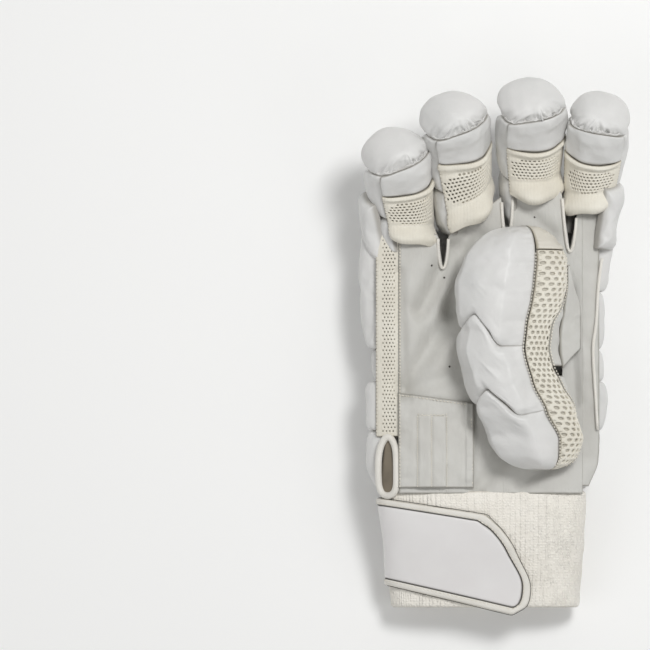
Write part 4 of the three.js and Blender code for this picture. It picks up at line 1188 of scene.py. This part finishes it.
def buildThumbPads():
    ends = [(zigzag("upper"), steady(thumb["tipEnd"])),
            (zigzag("lower"), zigzag("upper", 3 * thumbSeam)),
            (steady(0.002), zigzag("lower", 3 * thumbSeam))]
    for number, (start, end) in enumerate(ends):
        sheet, where = thumbPart(steady(thumb["under"]), thumbEdge("left", -thumbTurn), start, end)
        look = {**thumbPads, "creases": thumbCreases[number]}
        wall = padWall(lambda u, v: thumbWall(*where(u, v)), look)
        makePad(f"thumb_pad_{number + 1}", sheet, wall, look, 90 + number)
    print("thumb pads made")


thumbMesh = {"cell": 3.3, "open": 0.64, "band": 1.3}
thumbLeather = {"spacing": 1.0, "dents": 0.5, "size": 12}


def buildThumbSheets():
    end = steady(thumb["flapStart"] - thumbSeam)
    sheet, _ = thumbPart(thumbEdge("left"), thumbEdge("right"), steady(0.003), end)
    net = makeNet("thumb_mesh_knit", sheet, thumbMesh["cell"], hand["knit"], lambda u, v: thumbMesh["open"],
                  thumbMesh["band"])
    place(net, "knit", "thumb_mesh", "sheet")
    under = makeSlab("thumb_mesh_lining", sheet, thinWall(backing["thumbWall"]), backing["spacing"])
    place(under, "backing", form="sheet")

    def innerEdge(place):
        isTip = np.asarray(place) > thumb["flapStart"]
        return np.where(isTip, thumb["flapEdge"], thumbEdge("right")(place)) + thumbTurn

    leathers = [
        ("thumb_tip_flap", "flapLeather", thumbEdge("left"), thumb["flapEdge"], thumb["flapStart"],
         thumb["tipEnd"], [("b", 10, 8, 0.9, 0.3), ("l", 7, 9, 0.8, 0.35)]),
        ("thumb_inner_leather", "palmLeather", innerEdge, 2 * math.pi + thumb["under"] - thumbTurn,
         thumb["holeTop"] + thumb["holeGap"], thumb["tipEnd"], [("l", 14, 10, 1.0, 0.35, 0, 0.7)]),
        ("thumb_base_leather", "palmLeather", thumbEdge("right", thumbTurn), thumb["baseEdge"],
         thumb["baseStart"], thumb["holeTop"], []),
    ]
    wall = thinWall(hand["knit"])
    for number, (name, material, first, last, start, end, creases) in enumerate(leathers):
        sheet, _ = thumbPart(first, steady(last), steady(start), steady(end))
        flap = makeSlab(name + "_sheepskin", sheet, wall, thumbLeather["spacing"], lining=True)
        wrinkle(flap, thumbLeather["dents"], thumbLeather["size"], creases, 110 + number)
        place(flap, material, name, "sheet")


web = {
    "thumbFrom": 0.42, "seamFrom": 0.5, "to": 0.84, "angle": math.radians(106),
    "taper": 0.85, "taperFrom": 0.45, "leanX": 0.6, "leanZ": 0.8,
    "dents": 0.35, "size": 12, "creases": [("r", 9, 7, 1.0, 0.3)],
}


def buildThumbWeb():
    def sheet(u, v, lift):
        place = mix(mix(web["thumbFrom"], web["seamFrom"], u), web["to"], v)
        top = thumbPoint(place, web["angle"], hand["knit"] + 2 * hand["gap"])
        footX = across(hand["palmRight"]) - hand["leather"] + 0 * place
        foot = stack(footX, top[..., 1], palmSkin(footX, top[..., 1]) + 2 * hand["gap"])
        reach = np.asarray(u) * (1 - web["taper"] * smooth(np.asarray(v), web["taperFrom"], 1.0))
        point = mix(top, foot, reach[..., None])
        point[..., 0] += lift * web["leanX"]
        point[..., 2] += lift * web["leanZ"]
        return point

    piece = makeSlab("thumb_web_sheepskin", sheet, thinWall(hand["leather"]), thumbLeather["spacing"])
    wrinkle(piece, web["dents"], web["size"], web["creases"], 121)
    place(piece, "palmLeather", "thumb_web", "sheet")
    print("thumb's sheets made")


cuff = {
    "length": 62, "tuck": 1.4, "depth": 28, "square": 2.6, "towel": 3, "drop": 1.15, "spacing": 1.2,
    "dents": 0.35, "size": 17, "creases": [("b", 44, 9, 1.2, 0.35), ("t", 30, 5, 1.2, 0.2)],
}
cuffSection = {"along": [0, 0.5, 1], "left": [-0.462, -0.43, -0.42], "right": [0.365, 0.355, 0.34]}
strap = {
    "width": 46, "reach": 82, "wall": 1.8, "lift": 0.9, "start": math.radians(-150), "tilt": -0.2,
    "middle": -0.42, "taper": 0.12, "binding": 3.4, "bindingWall": 2.1, "endShare": 1.5,
    "spacing": 1.3, "bindingSpacing": 0.8, "dents": 0.12, "size": 30,
    "rounding": [-0.08, -0.05, -0.02, 0, 0.02, 0.05, 0.08],
}
strapEnd = {"along": [0, 0.02, 0.06, 0.14, 0.35, 0.7, 0.9, 0.96, 1],
            "reach": [0.84, 0.9, 0.95, 0.99, 1, 0.88, 0.79, 0.75, 0.67]}


def cuffPoint(place, angle, lift):
    left = across(readTable(cuffSection, "left", place))
    right = across(readTable(cuffSection, "right", place))
    side, up = roundedSquare(angle, cuff["square"])
    middle = mix(hand["palmHeight"] - cuff["depth"] / 2, hand["rest"] + cuff["depth"] / 2,
                 smooth(place, 0, cuff["drop"]))
    return stack(
        (left + right) / 2 + (right - left) / 2 * side + lift * np.sin(angle),
        along(hand["heelEnd"]) + cuff["tuck"] - place * (cuff["length"] + cuff["tuck"]),
        middle + cuff["depth"] / 2 * up + lift * np.cos(angle),
    )


# How far the strap reaches across its width, with its corners rounded off.
def strapReach(v):
    shifts = strap["rounding"]
    return sum(readTable(strapEnd, "reach", v + shift) for shift in shifts) / len(shifts)


# u runs along the strap and v across it, both 0 to 1.
def strapPoint(u, v, lift):
    left = across(cuffSection["left"][0])
    endX = left + strap["reach"] * strapReach(v)
    middle = across((cuffSection["left"][1] + cuffSection["right"][1]) / 2)
    half = across((cuffSection["right"][1] - cuffSection["left"][1]) / 2)
    side = (endX - middle) / half
    endAngle = np.sign(side) * np.arcsin(np.minimum(1, np.abs(side) ** (cuff["square"] / 2)))
    angle = mix(strap["start"], endAngle, u)
    onFront, _ = roundedSquare(np.maximum(angle, -math.pi / 2), cuff["square"])
    reach = np.maximum(0, middle + half * onFront - left)
    width = strap["width"] * (1 + strap["taper"] * reach / strap["reach"])
    drop = -strap["middle"] * cuff["length"] - strap["tilt"] * reach - width * (v - 0.5)
    return cuffPoint(drop / cuff["length"], angle, lift)


def bindingShares(width):  # a width in mm as shares of the strap's width and of its length
    return width / strap["width"], width / (strap["reach"] * strap["endShare"])


def buildCuff():
    def towelSheet(u, v, lift):
        return cuffPoint(v, 2 * math.pi * u, np.where(lift > 0, lift - cuff["towel"], -cuff["towel"]))

    wall = thinWall(cuff["towel"], 0.45, 2.2)
    band = makeSlab("cuff_towelling", towelSheet, wall, cuff["spacing"], "bt", ring=True)
    wrinkle(band, cuff["dents"], cuff["size"], cuff["creases"], 131)
    place(band, "towelling", "cuff_band", "sheet")


def buildStrap():
    inset, endInset = bindingShares(strap["binding"] + hand["gap"])
    depthShare, endShare = bindingShares(strap["binding"])

    def bodySheet(u, v, lift):
        return strapPoint(u * (1 - endInset), mix(inset, 1 - inset, v), strap["lift"] + lift)

    body = makeSlab("strap_face", bodySheet, thinWall(strap["wall"], 0.75, 0.8), strap["spacing"])
    wrinkle(body, strap["dents"], strap["size"], (), 137)
    place(body, "strap", "strap", "sheet")

    def rimSheet(u, v, lift):  # out along one edge, round the end and back along the other
        depth, endDepth = v * depthShare, v * endShare
        leg = np.clip(np.asarray(u) * 3, 0, 3)
        outAndBack = np.where(leg <= 1, leg, np.where(leg <= 2, 1, 3 - leg)) * (1 - endDepth)
        over = np.where(leg <= 1, 1 - depth, np.where(leg <= 2, mix(1 - depth, depth, leg - 1), depth))
        return strapPoint(outAndBack, over, strap["lift"] + lift)

    wall = thinWall(strap["bindingWall"], 0.6, 1.3)
    rim = makeSlab("strap_binding_tape", rimSheet, wall, strap["bindingSpacing"])
    place(rim, "tape", "strap_binding", "sheet")
    print("cuff and strap made")


# A curve through one or more rows of points in mm.
def makeCurve(name, lines, kind):
    curve = bpy.data.curves.new(name, "CURVE")
    curve.dimensions = "3D"
    for points in lines:
        spline = curve.splines.new(kind)
        spline.points.add(len(points) - 1)
        for spot, point in zip(spline.points, toFrame(points)):
            spot.co = (*point, 1)
    return addObject(name, curve)


def curveToMesh(row):
    bpy.context.view_layer.update()
    mesh = bpy.data.meshes.new_from_object(asModified(row))
    bpy.data.objects.remove(row)
    return mesh


# A rounded tape or cord along points in mm. It has no sewn edge of its own.
def makeCord(name, points, radius, closed=False):
    row = makeCurve(name, [points], "NURBS")
    spline = row.data.splines[0]
    spline.use_cyclic_u = closed
    spline.use_endpoint_u = not closed
    spline.order_u = 3
    spline.resolution_u = 8
    row.data.bevel_depth = radius / 1000
    row.data.bevel_resolution = 3
    row.data.use_fill_caps = True
    mesh = curveToMesh(row)
    tidyShell(mesh)
    setValues(mesh, "seam", np.full(len(mesh.vertices), 9.0))
    return addObject(name, mesh)


def onPalm(shares, raised):
    x = across(np.array([share[0] for share in shares]))
    y = along(np.array([share[1] for share in shares]))
    return stack(x, y, palmSkin(x, y) - foldDepth(x, y) + raised)


piping = {
    "radius": 0.85, "loop": 1.9, "slitTurn": 2.2, "rise": 0.9,
    "over": 0.4, "sideOver": 0.6, "loopOver": 0.3, "fill": 0.5,
}
slit = {
    "left": -0.462, "right": -0.404, "low": -0.55, "top": -0.335, "sunk": 1.2, "wall": 0.8,
    "taper": 1.3, "tip": 0.02, "spacing": 1.2,
}
slitLoop = [(-0.432, -0.326), (-0.466, -0.37), (-0.474, -0.45), (-0.466, -0.555), (-0.4, -0.555),
            (-0.399, -0.45), (-0.402, -0.37)]
sideSeam = [(0.425, 0.33), (0.41, 0.25), (0.402, 0.08), (0.385, 0), (0.395, -0.14), (0.405, -0.31)]


def buildWristSlit():
    def sheet(u, v, lift):
        narrow = np.sqrt(np.clip(slit["taper"] * (1 - v) + slit["tip"], 0, 1))
        x = mix(across(slit["left"]), across(slit["right"]), 0.5 + (u - 0.5) * narrow)
        y = mix(along(slit["low"]), along(slit["top"]), v)
        return stack(x, y, palmSkin(x, y) - slit["sunk"] + lift)

    # Painted shadow: a dark sheet sunk under the slit stands in for the shade inside its opening.
    lining = makeSlab("slit_painted_shadow", sheet, thinWall(slit["wall"]), slit["spacing"])
    place(lining, "slitShadow", form="sheet")
    loop = makeCord("slit_binding_tape", onPalm(slitLoop, piping["loopOver"]), piping["loop"], closed=True)
    place(loop, "tape", "slit_binding", "padded", piping["fill"])


def buildPiping():
    radius, fill = piping["radius"], piping["fill"]
    seam = makeCord("side_piping_tape", onPalm(sideSeam, radius + piping["sideOver"]), radius)
    place(seam, "tape", "side_piping", "padded", fill)
    turn = piping["slitTurn"] / hand["width"]
    for number, foot in enumerate((2, 6, 10)):
        left, bottom, right = [(palmEdge["x"][k], palmEdge["y"][k]) for k in (foot - 1, foot, foot + 1)]

        def towards(side):
            return mix(bottom[0], side[0], piping["rise"]), mix(bottom[1], side[1], piping["rise"])

        route = [towards(left), (bottom[0] - turn, bottom[1]), (bottom[0] + turn, bottom[1]), towards(right)]
        route = [(x, y - radius / hand["length"]) for x, y in route]
        cord = makeCord(f"slit_piping_{number + 1}_tape", onPalm(route, radius + piping["over"]), radius)
        place(cord, "tape", f"slit_piping_{number + 1}", "padded", fill)
    print("piping made")


# Running stitches along a line: one node tree sets small rounded threads in a row.
def makeStitchTree():
    tree = bpy.data.node_groups.new("running_stitches", "GeometryNodeTree")
    tree.interface.new_socket("Line", in_out="INPUT", socket_type="NodeSocketGeometry")
    for label, start in (("Spacing", 0.0018), ("Stitch length", 0.0013), ("Thread radius", 0.00032)):
        tree.interface.new_socket(label, in_out="INPUT", socket_type="NodeSocketFloat").default_value = start
    tree.interface.new_socket("Thread", in_out="INPUT", socket_type="NodeSocketMaterial")
    tree.interface.new_socket("Stitches", in_out="OUTPUT", socket_type="NodeSocketGeometry")
    given = addNode(tree, "NodeGroupInput", {}).outputs
    spread = addNode(tree, "GeometryNodeResampleCurve", {"mode": "LENGTH"},
                     {"Curve": given["Line"], "Length": given["Spacing"]})
    tangent = addNode(tree, "GeometryNodeInputTangent", {})
    turned = addNode(tree, "FunctionNodeAlignEulerToVector", {"axis": "Z"}, {"Vector": tangent.outputs[0]})
    bead = addNode(tree, "GeometryNodeMeshUVSphere", {"Segments": 6, "Rings": 4, "Radius": 1.0})
    half = addNode(tree, "ShaderNodeMath", {"operation": "MULTIPLY", 1: 0.5}, {0: given["Stitch length"]})
    size = addNode(tree, "ShaderNodeCombineXYZ", {},
                   {"X": given["Thread radius"], "Y": given["Thread radius"], "Z": half.outputs[0]})
    rows = addNode(tree, "GeometryNodeInstanceOnPoints", {},
                   {"Points": spread.outputs[0], "Instance": bead.outputs[0],
                    "Rotation": turned.outputs[0], "Scale": size.outputs[0]})
    real = addNode(tree, "GeometryNodeRealizeInstances", {}, {"Geometry": rows.outputs[0]})
    coloured = addNode(tree, "GeometryNodeSetMaterial", {},
                       {"Geometry": real.outputs[0], "Material": given["Thread"]})
    addNode(tree, "NodeGroupOutput", {}, {0: coloured.outputs[0]})
    return tree


# Sizes are the stitches' spacing, length and thread radius in mm.
def sewLine(name, lines, tree, sizes):
    row = makeCurve(name, lines, "POLY")
    sewing = row.modifiers.new("sewing", "NODES")
    sewing.node_group = tree
    sockets = {item.name: item.identifier for item in tree.interface.items_tree if item.in_out == "INPUT"}
    for label, size in zip(("Spacing", "Stitch length", "Thread radius"), sizes):
        sewing[sockets[label]] = size / 1000
    sewing[sockets["Thread"]] = finish["thread"]
    place(addObject(name, curveToMesh(row)), "thread")


def straight(start, end, count=40):
    return [(mix(start[0], end[0], t), mix(start[1], end[1], t)) for t in np.linspace(0, 1, count)]


sewing = {
    "over": 0.75, "heel": (1.9, 1.4, 0.32), "box": (1.3, 1.0, 0.26), "side": (1.8, 1.35, 0.36),
    "thumb": (1.8, 1.3, 0.34), "strap": (2.2, 1.6, 0.28),
    "heelOutline": [(-0.386, -0.52), (-0.386, -0.18), (-0.1, -0.219), (-0.096, -0.52)],
    "boxLeft": -42.4, "boxRight": -27.2, "boxTop": -36.9, "boxTooth": 1.1, "boxSides": (-42.9, -35.2, -27.0),
    "sideInset": 0.008, "strapInset": 0.055, "strapRise": 0.95,
}


def buildStitches():
    tree = makeStitchTree()
    top = hand["leather"] + sewing["over"]
    outline = sewing["heelOutline"]
    sewLine("heel_patch_stitches", [onPalm(straight(*ends), top) for ends in zip(outline, outline[1:])], tree,
            sewing["heel"])
    toothed = [(mix(sewing["boxLeft"], sewing["boxRight"], t) / hand["width"],
                (sewing["boxTop"] - sewing["boxTooth"] * (k % 2)) / hand["length"])
               for k, t in enumerate(np.linspace(0, 1, 15))]
    sides = [straight((x / hand["width"], -0.52), (x / hand["width"], -0.262)) for x in sewing["boxSides"]]
    sewLine("heel_box_stitches", [onPalm(line, top + 0.4) for line in [toothed] + sides], tree, sewing["box"])
    sideX = hand["palmLeft"] + sewing["sideInset"]
    sideRow = onPalm(straight((sideX, -0.5), (sideX, 0.4), 120), 0.25)
    sewLine("side_seam_stitches", [sideRow], tree, sewing["side"])
    spots = np.linspace(0.02, 0.88, 140)
    for side, shift, over in (("left", -2.5, 1.3), ("right", 2.5, 0.35)):
        line = thumbPoint(spots, thumbEdge(side, math.radians(shift))(spots), hand["knit"] + over)
        sewLine(f"thumb_mesh_{side}_stitches", [line], tree, sewing["thumb"])
    high = strap["lift"] + strap["bindingWall"] * sewing["strapRise"]
    upper, lower = [strapPoint(np.linspace(0.02, 0.965, 90), np.full(90, value), high)
                    for value in (1 - sewing["strapInset"], sewing["strapInset"])]
    end = strapPoint(np.full(40, 0.975), np.linspace(0.93, 0.07, 40), high)
    sewLine("strap_binding_stitches", [upper, end, lower], tree, sewing["strap"])
    print("stitches made")


# A dark line between the strap's face and its binding, and a painted shadow line under the strap's outer
# edge, where it stands off the towelling.
edgeLineAndShadow = {
    "radius": 0.18, "inset": 0.1, "innerRise": 0.9, "outerSide": -0.008, "outerEnd": 1.004, "outerRise": 0.4,
}


def buildStrapLines():
    inset, endInset = bindingShares(strap["binding"] + edgeLineAndShadow["inset"])
    cords = [("strap_inner_edge_line", inset, 1 - endInset, strap["wall"] * edgeLineAndShadow["innerRise"]),
             # Painted shadow: the outer line sits just beyond and below the strap's edge.
             ("strap_outer_edge_shadow", edgeLineAndShadow["outerSide"], edgeLineAndShadow["outerEnd"], edgeLineAndShadow["outerRise"])]
    for name, side, end, lift in cords:
        high = strap["lift"] + lift
        upper = strapPoint(np.linspace(0.02, end, 60), np.full(60, 1 - side), high)
        tip = strapPoint(np.full(30, end), np.linspace(1 - side, side, 30), high)
        lower = strapPoint(np.linspace(end, 0.02, 60), np.full(60, side), high)
        place(makeCord(name, np.concatenate([upper, tip[1:-1], lower]), edgeLineAndShadow["radius"]), "darkLineAndShadow")
    print("strap lines made")


# Air holes punched through the palm, each a dark pinprick of painted shadow that stands just proud of the
# leather.
airHole = {
    "over": 0.12, "radius": 0.62, "topRadius": 0.5, "depth": 0.6,
    "spots": [(-35.1, 44.3), (-28.1, 37.8), (-10.8, 68.6), (20.5, 83.2), (21.1, 70.7), (-25.4, -10.8)],
}


def buildAirHoles():
    shells = bmesh.new()
    for x, y in np.array(airHole["spots"]):
        spot = toFrame(stack(x, y, palmSkin(x, y) - foldDepth(x, y) + airHole["over"]))
        made = bmesh.ops.create_cone(shells, cap_ends=True, segments=16, radius1=airHole["radius"] / 1000,
                                     radius2=airHole["topRadius"] / 1000, depth=airHole["depth"] / 1000)
        bmesh.ops.translate(shells, verts=made["verts"], vec=Vector(spot))
    mesh = bpy.data.meshes.new("palm_air_holes")
    shells.to_mesh(mesh)
    shells.free()
    place(addObject("palm_air_holes", mesh), "hole")
    print("air holes made")


buildFingers()
buildFingerMeshes()
buildPalm()
buildHeelPatch()
buildPalmSides()
buildBackRolls()
buildSidePad()
buildKnucklePads()
buildThumbPads()
buildThumbSheets()
buildThumbWeb()
buildCuff()
buildStrap()
buildWristSlit()
buildPiping()
buildStitches()
buildStrapLines()
buildAirHoles()


# The photograph's frame, in pixels of pixelSize mm, whose middle is left of the glove. The camera
# stands away metres from it.
shot = {
    "pixels": 650, "pixelSize": 0.545, "middleX": -93.2, "middleY": 11.9, "planeHeight": 45, "away": 3.2,
    "elevation": 88, "sensor": 36,
}
studio = {
    "tableReach": 2.5, "paper": "#fcfcfb", "sky": "#fbfbfa", "skyStrength": 0.39, "lampAim": (0, 0, 0.04),
    "lamps": [("key", (0.35, 0.5, 1.25), 0.35, 9.5), ("fill", (-1.0, -0.5, 1.1), 1.2, 3.5),
              ("rim", (0.9, -0.6, 0.8), 0.8, 1.5)],
}


def buildTable():
    reach = studio["tableReach"]
    corners = [(-reach, -reach, 0), (reach, -reach, 0), (reach, reach, 0), (-reach, reach, 0)]
    table = addObject("table_top", newMesh("table_top", corners, [(0, 1, 2, 3)]))
    surface = newSurface("white_paper_matt")
    addRelief(surface, "Noise", {"Scale": 900.0}, 0.05, 0.0001)
    look = {"Base Color": linear(studio["paper"]), "Roughness": 0.9}
    table.data.materials.append(finishSurface(surface, look))


def buildLights():
    world = bpy.data.worlds.new("studio")
    world.use_nodes = True
    background = world.node_tree.nodes["Background"]
    background.inputs["Color"].default_value = linear(studio["sky"])
    background.inputs["Strength"].default_value = studio["skyStrength"]
    bpy.context.scene.world = world
    for name, where, size, power in studio["lamps"]:
        light = bpy.data.lights.new(name, "AREA")
        light.size = size
        light.energy = power
        lamp = addObject(name, light)
        lamp.location = where
        lamp.rotation_euler = (Vector(studio["lampAim"]) - Vector(where)).to_track_quat("-Z", "Y").to_euler()


def buildCamera():
    lens = bpy.data.cameras.new("camera")
    camera = addObject("camera", lens)
    aim = Vector(toFrame([shot["middleX"], shot["middleY"], shot["planeHeight"]]))
    tilt = math.radians(shot["elevation"])
    camera.location = aim + Vector((0, -math.cos(tilt), math.sin(tilt))) * shot["away"]
    camera.rotation_euler = (math.pi / 2 - tilt, 0, 0)
    lens.sensor_width = shot["sensor"]
    lens.lens = shot["sensor"] * shot["away"] / (shot["pixels"] * shot["pixelSize"] / 1000)
    bpy.context.scene.camera = camera
    bpy.context.scene.view_settings.view_transform = "Standard"
    print("stage made")


buildTable()
buildLights()
buildCamera()
